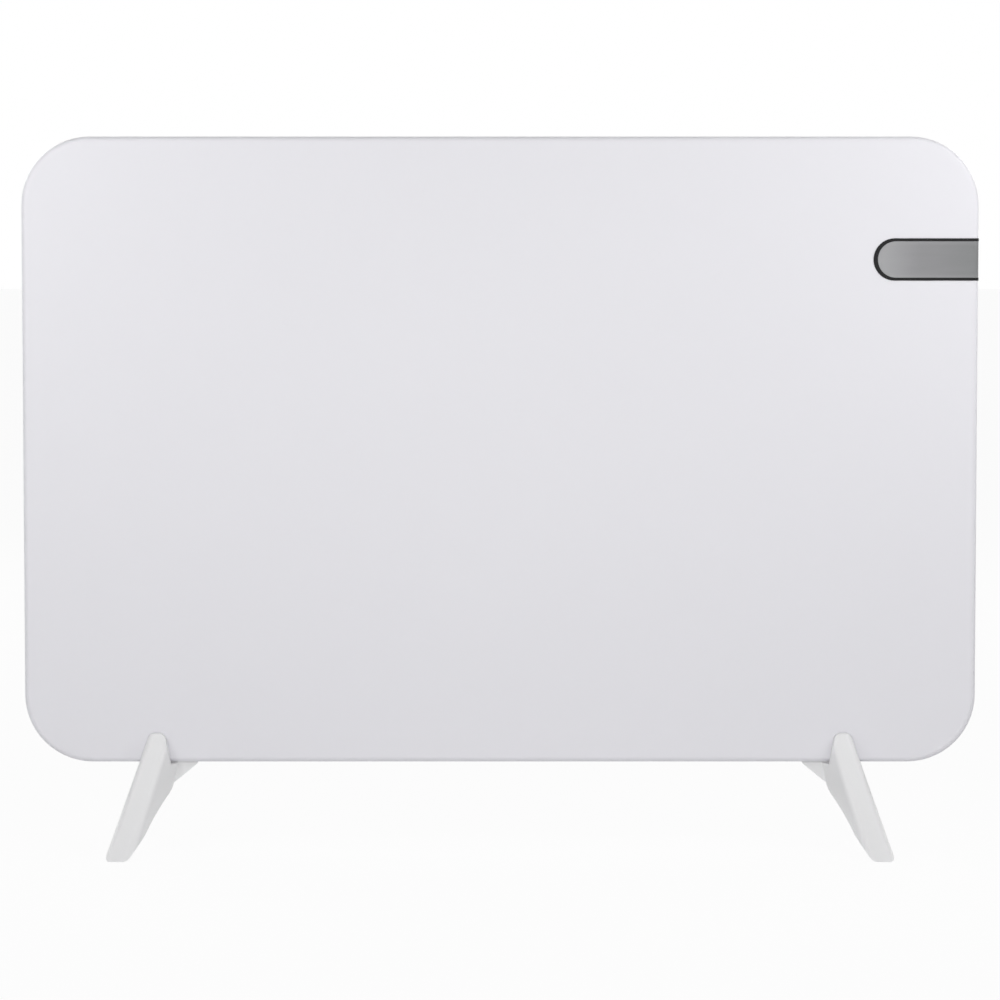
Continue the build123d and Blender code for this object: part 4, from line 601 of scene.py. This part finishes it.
@dataclass(frozen=True)
class CreasedFoil(Finish):
    """Thin aluminium foil with handling creases."""

    colour: Colour = (0.80, 0.81, 0.82)
    crease_size: float = 0.03
    crease_depth: float = 0.0006
    crumple_size: float = 0.012

    def write(self) -> bpy.types.Material:
        """Write the material."""
        surface = Surface(self.name)
        creases = surface.node(
            "ShaderNodeTexVoronoi",
            {"feature": "DISTANCE_TO_EDGE"},
            {"Vector": surface.place, "Scale": 1.0 / self.crease_size},
        ).faded(0.0, 0.2)
        crumple = surface.noise(self.crumple_size, 5.0)
        return surface.finish(
            Base_Color=surface.blend(crumple, scaled(self.colour, 0.9), self.colour),
            Metallic=1.0,
            Roughness=0.2 + crumple * 0.16,
            Normal=surface.relief(creases * 0.6 + crumple * 0.4, self.crease_depth),
        )


@dataclass(frozen=True)
class CircuitBoard(Finish):
    """Glass-epoxy board under a solder mask, with traces and plated holes."""

    mask: Colour = (0.012, 0.13, 0.05)
    trace: Colour = (0.03, 0.24, 0.09)
    pad: Colour = (0.70, 0.70, 0.66)
    pitch: float = 0.00254
    route_size: float = 0.011
    pad_size: float = 0.006
    trace_width: float = 0.35
    hole_reach: float = 0.10
    trace_depth: float = 0.00003

    def write(self) -> bpy.types.Material:
        """Write the material."""
        surface = Surface(self.name)
        across = surface.along("X") / self.pitch
        upright = surface.along("Z") / self.pitch
        row = abs(across.wrapped() - 0.5) * 2.0
        column = abs(upright.wrapped() - 0.5) * 2.0
        routed = surface.noise(self.route_size, 1.0).faded(0.46, 0.54)
        upward = row.below(self.trace_width)
        sideways = column.below(self.trace_width)
        trace = (1.0 - routed) * upward + routed * sideways
        hole = (row ** 2.0 + column ** 2.0).below(self.hole_reach)
        chosen = surface.noise(self.pad_size, 0.0).faded(0.57, 0.58)
        pad = hole * chosen
        board = surface.blend(trace, self.mask, self.trace)
        return surface.finish(
            Base_Color=surface.blend(pad, board, self.pad),
            Roughness=0.30 + trace * 0.06,
            Metallic=pad * 0.8,
            Normal=surface.relief(trace + pad, self.trace_depth),
        )


@dataclass(frozen=True)
class MouldedRubber(Finish):
    """Soft rubber or cable sheath with a dull bloom."""

    colour: Colour = (0.06, 0.06, 0.065)
    roughness: float = 0.6
    bloom_size: float = 0.008
    grain_size: float = 0.0005
    grain_depth: float = 0.00002

    def write(self) -> bpy.types.Material:
        """Write the material."""
        surface = Surface(self.name)
        bloom = surface.noise(self.bloom_size, 4.0)
        grain = surface.noise(self.grain_size, 2.0)
        return surface.finish(
            Base_Color=surface.blend(bloom, scaled(self.colour, 0.9), scaled(self.colour, 1.15)),
            Roughness=self.roughness + (bloom - 0.5) * 0.2,
            Normal=surface.relief(grain, self.grain_depth),
        )


@dataclass(frozen=True)
class FiredCeramic(Finish):
    """Unglazed technical ceramic with dark specks."""

    colour: Colour = (0.66, 0.62, 0.54)
    speck_size: float = 0.0012
    cloud_size: float = 0.004
    cloud_depth: float = 0.00003

    def write(self) -> bpy.types.Material:
        """Write the material."""
        surface = Surface(self.name)
        speck = surface.cells(self.speck_size).faded(0.05, 0.25)
        cloud = surface.noise(self.cloud_size, 3.0)
        return surface.finish(
            Base_Color=surface.blend(speck, scaled(self.colour, 0.7), self.colour),
            Roughness=0.5 + cloud * 0.2,
            Normal=surface.relief(cloud, self.cloud_depth),
        )


COVER_COAT = PowderCoat("cover powder coat", colour=(0.74, 0.74, 0.755), roughness=0.46, peel_depth=0.00003)
FACE_COAT = PowderCoat("face powder coat")
FOOT_PLASTIC = MouldedPlastic(
    "foot plastic",
    colour=(0.88, 0.88, 0.885),
    roughness=0.42,
    shade=0.008,
    grain_depth=0.000006,
)
BEZEL_BLACK = PolishedPlastic("bezel black", colour=(0.008, 0.008, 0.009), roughness=0.07, gloss=0.28)
LENS_GREY = SmokedLens("lens grey")
DARK_PLASTIC = MouldedPlastic("dark plastic", colour=(0.022, 0.022, 0.024), shade=0.15)
ROCKER_BLACK = MouldedPlastic(
    "rocker black",
    colour=(0.016, 0.016, 0.017),
    roughness=0.34,
    shade=0.1,
    grain_size=0.0004,
)
GLAND_NYLON = MouldedPlastic("gland nylon", colour=(0.40, 0.41, 0.42), roughness=0.44)
BOX_PLASTIC = MouldedPlastic("box plastic", colour=(0.26, 0.27, 0.28), roughness=0.55)
PALE_NYLON = MouldedPlastic("pale nylon", colour=(0.66, 0.62, 0.52), roughness=0.4)
SOCKET_PLASTIC = MouldedPlastic("socket plastic", colour=(0.05, 0.22, 0.09), roughness=0.4)
RELAY_PLASTIC = MouldedPlastic("relay plastic", colour=(0.02, 0.07, 0.26), roughness=0.3)
CAPACITOR_PLASTIC = MouldedPlastic("capacitor plastic", colour=(0.62, 0.36, 0.03), roughness=0.28)
CAN_SLEEVE = PolishedPlastic("can sleeve", colour=(0.012, 0.014, 0.022), roughness=0.18)
DIGIT_PLASTIC = PolishedPlastic("digit plastic", colour=(0.02, 0.02, 0.022), roughness=0.2)
CLEAR_SLEEVE = PolishedPlastic("connector sleeve", colour=(0.58, 0.57, 0.54), roughness=0.16)
ZINC_PLATE = SheetMetal("zinc plate")
SCREW_STEEL = SheetMetal("screw steel", colour=(0.66, 0.66, 0.67), roughness=0.26, grain=Axis.ALONG_Y)
CORE_STEEL = SheetMetal(
    "core steel",
    colour=(0.30, 0.29, 0.28),
    roughness=0.42,
    grain=Axis.ALONG_X,
    stain=0.2,
)
TURNED_BRASS = SheetMetal("turned brass", colour=(0.72, 0.52, 0.22), roughness=0.24, grain=Axis.ALONG_X)
TINNED_COPPER = SheetMetal("tinned copper", colour=(0.68, 0.66, 0.62), roughness=0.3, grain=Axis.ALONG_X)
BUSBAR_COPPER = CopperFoil("busbar copper")
HEATING_CARBON = CarbonFilm("heating carbon")
MICA = MicaSheet("mica sheet")
WOOL = MineralWool("mineral wool")
FOIL = CreasedFoil("reflector foil")
BOARD = CircuitBoard("circuit board")
CERAMIC = FiredCeramic("thermostat ceramic")
PAD_GREY = MouldedRubber("pad grey", colour=(0.24, 0.24, 0.25), roughness=0.75)
PAD_WHITE = MouldedRubber("pad white", colour=(0.70, 0.70, 0.70), roughness=0.7)
TAPE_FOAM = MouldedRubber("foam tape", colour=(0.66, 0.66, 0.63), roughness=0.9)
BROWN_SHEATH = MouldedRubber("brown sheath", colour=(0.12, 0.045, 0.02), roughness=0.42)
WHITE_SHEATH = MouldedRubber("white sheath", colour=(0.70, 0.69, 0.65), roughness=0.45)
BLACK_SHEATH = MouldedRubber("black sheath", colour=(0.018, 0.018, 0.02), roughness=0.42)


def dress(finish: Finish, *nodes: str) -> None:
    """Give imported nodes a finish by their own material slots.

    Args:
        finish: Finish that the nodes get.
        nodes: Names of the nodes.
    """
    for node in nodes:
        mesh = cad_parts[node].data
        material = finish.material()
        if not mesh.materials:
            mesh.materials.append(material)
        for place in range(len(mesh.materials)):
            mesh.materials[place] = material
        REPORT.info("%s dressed in %s", node, finish.name)


class Form(Graph):
    """Geometry Nodes tree that is built on a few points and turned into a plain mesh."""

    def __init__(self, name: str, sizes: dict[str, float]) -> None:
        """Start a tree with named sizes.

        Args:
            name: Name of the tree and of the piece.
            sizes: Value of each named input, in metres.
        """
        super().__init__(bpy.data.node_groups.new(name, "GeometryNodeTree"))
        self.name = name
        self.sizes = sizes
        self.tree.interface.new_socket("Points", in_out="INPUT", socket_type="NodeSocketGeometry")
        for size in sizes:
            self.tree.interface.new_socket(size, in_out="INPUT", socket_type="NodeSocketFloat")
        self.tree.interface.new_socket("Mesh", in_out="OUTPUT", socket_type="NodeSocketGeometry")
        self.entry = self.tree.nodes.new("NodeGroupInput")

    def given(self, name: str) -> Wire:
        """Wire from one of the tree's own inputs."""
        return Wire(self, self.entry.outputs[name])

    def vector(self, x: Wire | float, y: Wire | float, z: Wire | float) -> Wire:
        """Vector of three numbers."""
        return self.node("ShaderNodeCombineXYZ", inputs={0: x, 1: y, 2: z})

    def moved(self, shape: Wire, shift: Wire, turn: Point = (0.0, 0.0, 0.0)) -> Wire:
        """Shape after a move and a turn.

        Args:
            shape: Geometry to move.
            shift: Move along each axis.
            turn: Turn about each axis, in radians.

        Returns:
            The moved geometry.
        """
        inputs = {"Geometry": shape, "Translation": shift, "Rotation": turn}
        return self.node("GeometryNodeTransform", inputs=inputs)

    def joined(self, *shapes: Wire) -> Wire:
        """Several shapes in one geometry."""
        made = self.tree.nodes.new("GeometryNodeJoinGeometry")
        for shape in reversed(shapes):
            self.tree.links.new(shape.socket, made.inputs[0])
        return Wire(self, made.outputs[0])

    def carved(self, shape: Wire, *cutters: Wire) -> Wire:
        """Shape with each cutter taken out of it."""
        made = self.tree.nodes.new("GeometryNodeMeshBoolean")
        made.operation = "DIFFERENCE"
        self.tree.links.new(shape.socket, made.inputs["Mesh 1"])
        for cutter in cutters:
            self.tree.links.new(cutter.socket, made.inputs["Mesh 2"])
        return Wire(self, made.outputs["Mesh"])

    def repeated(self, shape: Wire, turn: Wire | Point) -> Wire:
        """Shape at each of the points.

        Args:
            shape: Geometry that repeats.
            turn: Turn of each copy, in radians.

        Returns:
            The copies, not yet real.
        """
        inputs = {"Points": self.given("Points"), "Instance": shape, "Rotation": turn}
        return self.node("GeometryNodeInstanceOnPoints", inputs=inputs)

    def piece(
        self,
        result: Wire,
        places: list[Point],
        finish: Finish,
        crease: float = 0.6,
    ) -> bpy.types.Object:
        """Close the tree and turn what it makes into a plain mesh.

        Args:
            result: Geometry to show.
            places: Points that the tree works on.
            finish: Finish of the piece.
            crease: Angle above which an edge stays sharp, in radians.

        Returns:
            The finished object, at the origin.
        """
        real = self.node("GeometryNodeRealizeInstances", inputs={"Geometry": result})
        smooth = self.node("GeometryNodeSetShadeSmooth", {"domain": "FACE"}, {"Geometry": real})
        angle = self.node("GeometryNodeInputMeshEdgeAngle", output="Unsigned Angle")
        sharp = self.node(
            "FunctionNodeCompare",
            {"data_type": "FLOAT", "operation": "GREATER_THAN"},
            {"A": angle, "B": crease},
        )
        creased = self.node(
            "GeometryNodeSetShadeSmooth",
            {"domain": "EDGE"},
            {"Geometry": smooth, "Selection": sharp, "Shade Smooth": False},
        )
        material = finish.material()
        dressed = self.node("GeometryNodeSetMaterial", inputs={"Geometry": creased, "Material": material})
        self.node("NodeGroupOutput", inputs={"Mesh": dressed})
        cloud = bpy.data.meshes.new(self.name + "_points")
        cloud.from_pydata(places, [], [])
        carrier = bpy.data.objects.new(self.name + "_points", cloud)
        bpy.context.scene.collection.objects.link(carrier)
        modifier = carrier.modifiers.new("form", "NODES")
        modifier.node_group = self.tree
        for item in self.tree.interface.items_tree:
            if item.name in self.sizes and item.in_out == "INPUT":
                modifier[item.identifier] = self.sizes[item.name]
        bpy.context.view_layer.update()
        evaluated = carrier.evaluated_get(bpy.context.evaluated_depsgraph_get())
        mesh = bpy.data.meshes.new_from_object(evaluated)
        carrier.modifiers.remove(modifier)
        bpy.data.objects.remove(carrier)
        mesh.name = self.name
        if not mesh.materials:
            mesh.materials.append(material)
        made = bpy.data.objects.new(self.name, mesh)
        bpy.context.scene.collection.objects.link(made)
        REPORT.info("%s has %d faces", self.name, len(mesh.polygons))
        return made


def places_of(node: str, apart: float) -> list[tuple[float, float]]:
    """Middle of each separate solid of a node, seen from the front.

    Args:
        node: Node whose solids stand apart in X and Z.
        apart: Distance over which two points belong to different solids, in metres.

    Returns:
        X and Z of each solid's middle.
    """
    groups: list[list[float]] = []
    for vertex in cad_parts[node].data.vertices:
        x, _, z = vertex.co
        for group in groups:
            if group[0] - apart < x < group[1] + apart and group[2] - apart < z < group[3] + apart:
                group[:] = [min(group[0], x), max(group[1], x), min(group[2], z), max(group[3], z)]
                break
        else:
            groups.append([x, x, z, z])
    return [((group[0] + group[1]) / 2, (group[2] + group[3]) / 2) for group in groups]


@dataclass
class PanelCasing:
    """Folded front tray, rear cover and the brackets that join them."""

    vent_x: float = 0.397
    vent_rows: tuple[tuple[float, int], ...] = ((0.258, 9), (0.483, 5))
    vent_pitch: float = 0.008
    vent_length: float = 0.034
    vent_width: float = 0.003
    lip_radius: float = 0.0005
    lip_margin: float = 0.0012
    lip_crease: float = 1.2
    corner_share: float = 0.49
    corner_points: int = 6
    section_points: int = 8
    cover_back: float = 0.0135

    def build(self) -> None:
        """Dress the casing and add its pressed vent lips."""
        dress(FACE_COAT, "front_panel", "cover_brackets")
        dress(COVER_COAT, "rear_cover")
        dress(ZINC_PLATE, "wall_nut_plates", "foot_nut_plates")
        self.vent_lips()

    def vent_lips(self) -> bpy.types.Object:
        """Rolled lip round each vent slot.

        Returns:
            The lips, as one piece.
        """
        form = Form(
            "vent_lips",
            {
                "Length": self.vent_length + self.lip_margin,
                "Width": self.vent_width + self.lip_margin,
                "Radius": self.lip_radius,
            },
        )
        outline = form.node(
            "GeometryNodeCurvePrimitiveQuadrilateral",
            {"mode": "RECTANGLE"},
            {"Width": form.given("Length"), "Height": form.given("Width")},
        )
        rounded = form.node(
            "GeometryNodeFilletCurve",
            {"mode": "POLY"},
            {
                "Curve": outline,
                "Radius": form.given("Width") * self.corner_share,
                "Count": self.corner_points,
            },
        )
        section = form.node(
            "GeometryNodeCurvePrimitiveCircle",
            inputs={"Resolution": self.section_points, "Radius": form.given("Radius")},
        )
        lip = form.node("GeometryNodeCurveToMesh", inputs={"Curve": rounded, "Profile Curve": section})
        places = []
        for middle, count in self.vent_rows:
            for row in range(count):
                z = middle + (row - (count - 1) / 2) * self.vent_pitch
                places.append((self.vent_x, self.cover_back, z))
        standing = form.repeated(lip, (math.pi / 2, 0.0, 0.0))
        lips = form.piece(standing, places, COVER_COAT, self.lip_crease)
        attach(lips, Body.HEATER.value)
        return lips


@dataclass
class CrossHeadScrews:
    """Pan-head screws with a cross recess, which stand for a node's plain ones."""

    node: str
    slot: str
    finish: Finish
    shank: float
    apart: float = 0.004
    crown: float = 0.18
    recess_reach: float = 1.15
    recess_width: float = 0.26
    recess_floor: float = 0.4
    recess_top: float = 1.5
    head_sides: int = 32
    head_rings: int = 5
    shank_sides: int = 20
    seed: int = 7

    def build(self) -> bpy.types.Object:
        """Build every screw of the node.

        Returns:
            The screws, as one piece.
        """
        low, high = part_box(self.node)
        places = places_of(self.node, self.apart)
        radius = (high.x - max(x for x, _ in places)) if places else 0.0
        seat = self.seat_depth()
        form = Form(
            self.node + "_turned",
            {
                "Head Radius": radius,
                "Head Height": high.y - seat,
                "Shank Radius": self.shank,
                "Shank Length": seat - low.y,
            },
        )
        turn = form.node(
            "FunctionNodeRandomValue",
            {"data_type": "FLOAT"},
            {2: 0.0, 3: math.pi / 2, "Seed": self.seed},
            output=1,
        )
        screws = form.repeated(self.shape(form), form.vector(-math.pi / 2, turn, 0.0))
        points = [(x, seat, z) for x, z in places]
        made = form.piece(screws, points, self.finish)
        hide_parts(self.node)
        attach(made, Body.HEATER.value)
        return made

    def seat_depth(self) -> float:
        """Depth at which the heads sit, where the node's widest points start.

        Returns:
            The depth along Y, in metres.
        """
        x, z = places_of(self.node, self.apart)[0]
        depths = [
            vertex.co.y
            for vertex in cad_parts[self.node].data.vertices
            if math.hypot(vertex.co.x - x, vertex.co.z - z) < self.apart * 3
            and math.hypot(vertex.co.x - x, vertex.co.z - z) > self.shank * 1.25
        ]
        return min(depths)

    def shape(self, form: Form) -> Wire:
        """One screw that points up Z, with its head's underside at zero.

        Args:
            form: Tree that the screw is built in.

        Returns:
            The screw's geometry.
        """
        head_radius = form.given("Head Radius")
        head_height = form.given("Head Height")
        flat_height = head_height * (1.0 - self.crown)
        head = form.node(
            "GeometryNodeMeshCylinder",
            {"fill_type": "TRIANGLE_FAN"},
            {
                "Vertices": self.head_sides,
                "Side Segments": 2,
                "Fill Segments": self.head_rings,
                "Radius": head_radius,
                "Depth": flat_height,
            },
            output="Mesh",
        )
        head = form.moved(head, form.vector(0.0, 0.0, flat_height / 2.0))
        position = form.node("GeometryNodeInputPosition")
        x = form.node("ShaderNodeSeparateXYZ", inputs={0: position}, output="X")
        y = form.node("ShaderNodeSeparateXYZ", inputs={0: position}, output="Y")
        z = form.node("ShaderNodeSeparateXYZ", inputs={0: position}, output="Z")
        share = (x ** 2.0 + y ** 2.0) / (head_radius ** 2.0)
        top = 1.0 - z.below(0.00001)
        lift = (1.0 - share) * head_height * self.crown * top
        domed = form.node(
            "GeometryNodeSetPosition",
            inputs={"Geometry": head, "Offset": form.vector(0.0, 0.0, lift)},
        )
        arm = form.vector(
            head_radius * self.recess_reach,
            head_radius * self.recess_width,
            head_height * (self.recess_top - self.recess_floor),
        )
        across = form.node("GeometryNodeMeshCube", inputs={"Size": arm}, output="Mesh")
        middle = (self.recess_top + self.recess_floor) / 2
        raised = form.vector(0.0, 0.0, head_height * middle)
        first = form.moved(across, raised)
        second = form.moved(across, raised, (0.0, 0.0, math.pi / 2))
        cut = form.carved(domed, first, second)
        length = form.given("Shank Length")
        shank = form.node(
            "GeometryNodeMeshCylinder",
            {"fill_type": "TRIANGLE_FAN"},
            {"Vertices": self.shank_sides, "Radius": form.given("Shank Radius"), "Depth": length},
            output="Mesh",
        )
        return form.joined(cut, form.moved(shank, form.vector(0.0, 0.0, length * -0.5)))


@dataclass
class ControlStrip:
    """Black outline and grey lens at the right edge, with the module behind them."""

    lens: SmokedLens = LENS_GREY

    def build(self) -> None:
        """Dress the strip and its module."""
        dress(BEZEL_BLACK, "control_bezel")
        dress(self.lens, "control_lens")
        dress(DARK_PLASTIC, "display_housing")
        dress(BOARD, "display_board")
        dress(DIGIT_PLASTIC, "led_display")
        dress(CAN_SLEEVE, "buzzer")
        dress(SCREW_STEEL, "display_screws", "touch_springs")


@dataclass
class HeatingStack:
    """Film, sheets, wool and foil behind the face, and what holds them."""

    def build(self) -> None:
        """Dress the stack."""
        dress(HEATING_CARBON, "heating_film")
        dress(BUSBAR_COPPER, "busbars")
        dress(MICA, "insulating_sheet")
        dress(WOOL, "insulation_board")
        dress(FOIL, "reflector_foil")
        dress(TURNED_BRASS, "busbar_posts")
        dress(ZINC_PLATE, "side_rails", "retaining_straps")
        dress(SCREW_STEEL, "strap_screws")
        dress(CERAMIC, "thermal_cutouts")


@dataclass
class PowerSupply:
    """Boxed power board with its larger parts."""

    def build(self) -> None:
        """Dress the power supply."""
        dress(BOX_PLASTIC, "power_box", "power_box_lid")
        dress(TAPE_FOAM, "box_tapes")
        dress(BOARD, "power_board")
        dress(SCREW_STEEL, "board_screws")
        dress(SOCKET_PLASTIC, "board_sockets")
        dress(RELAY_PLASTIC, "relay")
        dress(CORE_STEEL, "transformer")
        dress(CAPACITOR_PLASTIC, "filter_capacitor")
        dress(CAN_SLEEVE, "bulk_capacitors")


@dataclass
class Inlet:
    """Cord gland, terminals, earth point and the two switches."""

    def build(self) -> None:
        """Dress the inlet and the switches."""
        dress(GLAND_NYLON, "cord_gland", "gland_nut")
        dress(ZINC_PLATE, "terminal_bracket")
        dress(PALE_NYLON, "terminal_block", "sensor_holder")
        dress(SCREW_STEEL, "terminal_screws", "tilt_pivot_pin", "room_sensor")
        dress(TURNED_BRASS, "earth_stud", "switch_blades", "tilt_pendulum")
        dress(TINNED_COPPER, "earth_ring")
        dress(DARK_PLASTIC, "rocker_switch_body", "tilt_switch_case", "tilt_switch_lid")
        dress(ROCKER_BLACK, "rocker")
        dress(CLEAR_SLEEVE, "switch_connectors")


@dataclass
class Wiring:
    """Leads between the inlet, the boards and the heating film."""

    def build(self) -> None:
        """Dress the leads."""
        dress(BROWN_SHEATH, "mains_leads")
        dress(WHITE_SHEATH, "element_leads")
        dress(BLACK_SHEATH, "signal_leads", "display_cable")


@dataclass
class Feet:
    """Two splayed feet with their pads."""

    def build(self) -> None:
        """Dress the feet."""
        dress(FOOT_PLASTIC, "left_foot", "right_foot")
        dress(PAD_GREY, "floor_pads")
        dress(PAD_WHITE, "slot_pads")


@dataclass(frozen=True)
class Softbox:
    """Square area lamp that looks at the heater."""

    name: str
    place: Point
    side: float
    power: float
    target: Point = (0.0, 0.0, 0.38)

    def light(self) -> None:
        """Put the lamp in the scene."""
        lamp = bpy.data.lights.new(self.name, "AREA")
        lamp.shape = "SQUARE"
        lamp.size = self.side
        lamp.energy = self.power
        holder = bpy.data.objects.new(self.name, lamp)
        holder.location = self.place
        direction = Vector(self.target) - Vector(self.place)
        holder.rotation_euler = direction.to_track_quat("-Z", "Y").to_euler()
        holder.visible_camera = False
        bpy.context.scene.collection.objects.link(holder)


@dataclass
class Studio:
    """White floor and surround, soft lamps and the photograph's camera."""

    camera_place: Point = (0.0, -4.0, 0.608)
    pitch: float = 3.92
    focal_length: float = 150.08
    sensor_width: float = 36.0
    surround: float = 0.26
    floor_radius: float = 30.0
    floor_glow: float = 0.95
    lamps: tuple[Softbox, ...] = (
        Softbox("right lamp", (0.9, -0.6, 0.9), 0.6, 4.2, (0.135, 0.0, 0.68)),
        Softbox("left lamp", (-0.9, -0.6, 0.9), 0.6, 2.5, (-0.135, 0.0, 0.68)),
        Softbox("front left lamp", (-0.9, -1.6, 0.9), 0.6, 2.8, (-0.1, 0.0, 0.38)),
        Softbox("low left lamp", (-0.9, -1.6, 0.4), 0.6, 1.1, (-0.1, 0.0, 0.6)),
        Softbox("camera lamp", (0.0, -4.2, 0.2), 0.8, 43.0),
        Softbox("rear right lamp", (2.2, 2.6, 1.8), 1.6, 30.0),
        Softbox("rear left lamp", (-2.2, 2.6, 1.8), 1.6, 30.0),
    )

    def build(self) -> None:
        """Build the studio."""
        bpy.context.scene.view_settings.view_transform = "Standard"
        self.place_camera()
        self.write_world()
        self.lay_floor()
        for lamp in self.lamps:
            lamp.light()
            REPORT.info("%s lit", lamp.name)

    def place_camera(self) -> None:
        """Put the camera where the photograph was taken from."""
        lens = bpy.data.cameras.new("camera")
        lens.lens = self.focal_length
        lens.sensor_width = self.sensor_width
        holder = bpy.data.objects.new("camera", lens)
        holder.location = self.camera_place
        holder.rotation_euler = (math.radians(90.0 - self.pitch), 0.0, 0.0)
        bpy.context.scene.collection.objects.link(holder)
        bpy.context.scene.camera = holder

    def seen(self, graph: Graph) -> Wire:
        """One for camera, mirror and glass rays, and zero for the light on the object."""
        camera = graph.node("ShaderNodeLightPath", output="Is Camera Ray")
        glossy = graph.node("ShaderNodeLightPath", output="Is Glossy Ray")
        through = graph.node("ShaderNodeLightPath", output="Is Transmission Ray")
        return (camera + glossy + through).maths("MINIMUM", 1.0)

    def write_world(self) -> None:
        """Write a white surround whose light on the object is gentler than it looks."""
        world = bpy.data.worlds.new("surround")
        world.use_nodes = True
        bpy.context.scene.world = world
        graph = Graph(world.node_tree)
        graph.tree.nodes.clear()
        strength = self.surround + self.seen(graph) * (1.0 - self.surround)
        white = (1.0, 1.0, 1.0, 1.0)
        light = graph.node("ShaderNodeBackground", inputs={"Color": white, "Strength": strength})
        graph.node("ShaderNodeOutputWorld", inputs={"Surface": light})

    def lay_floor(self) -> None:
        """Lay a pale floor that looks white and keeps a faint shadow."""
        surface = Surface("floor")
        grain = surface.noise(0.4, 3.0)
        colour = surface.blend(grain, (0.79, 0.79, 0.79), (0.81, 0.81, 0.81))
        board = surface.node("ShaderNodeBsdfDiffuse", inputs={"Color": colour})
        glow = surface.node("ShaderNodeEmission", inputs={"Color": (1.0, 1.0, 1.0, 1.0), "Strength": 1.0})
        share = self.seen(surface) * self.floor_glow
        mixed = surface.node("ShaderNodeMixShader", inputs={0: share, 1: board, 2: glow})
        surface.node("ShaderNodeOutputMaterial", inputs={"Surface": mixed})
        radius = self.floor_radius
        mesh = bpy.data.meshes.new("floor")
        turns = ((-1, -1), (1, -1), (1, 1), (-1, 1))
        corners = [(x * radius, y * radius, 0.0) for x, y in turns]
        mesh.from_pydata(corners, [], [(0, 1, 2, 3)])
        mesh.materials.append(surface.material)
        floor = bpy.data.objects.new("floor", mesh)
        bpy.context.scene.collection.objects.link(floor)


def main() -> None:
    """Build the studio, then each sub-assembly in order."""
    logging.basicConfig(level=logging.INFO, format="%(name)s: %(message)s")
    assemblies = (
        Studio(),
        PanelCasing(),
        ControlStrip(),
        HeatingStack(),
        PowerSupply(),
        Inlet(),
        Wiring(),
        Feet(),
        CrossHeadScrews("cover_screws", "cover_screw", COVER_COAT, shank=0.00195),
        CrossHeadScrews("foot_screws", "cover_screw", ZINC_PLATE, shank=0.00245),
    )
    for assembly in assemblies:
        assembly.build()
        REPORT.info("%s built", type(assembly).__name__)


if __name__ == "__main__":
    main()
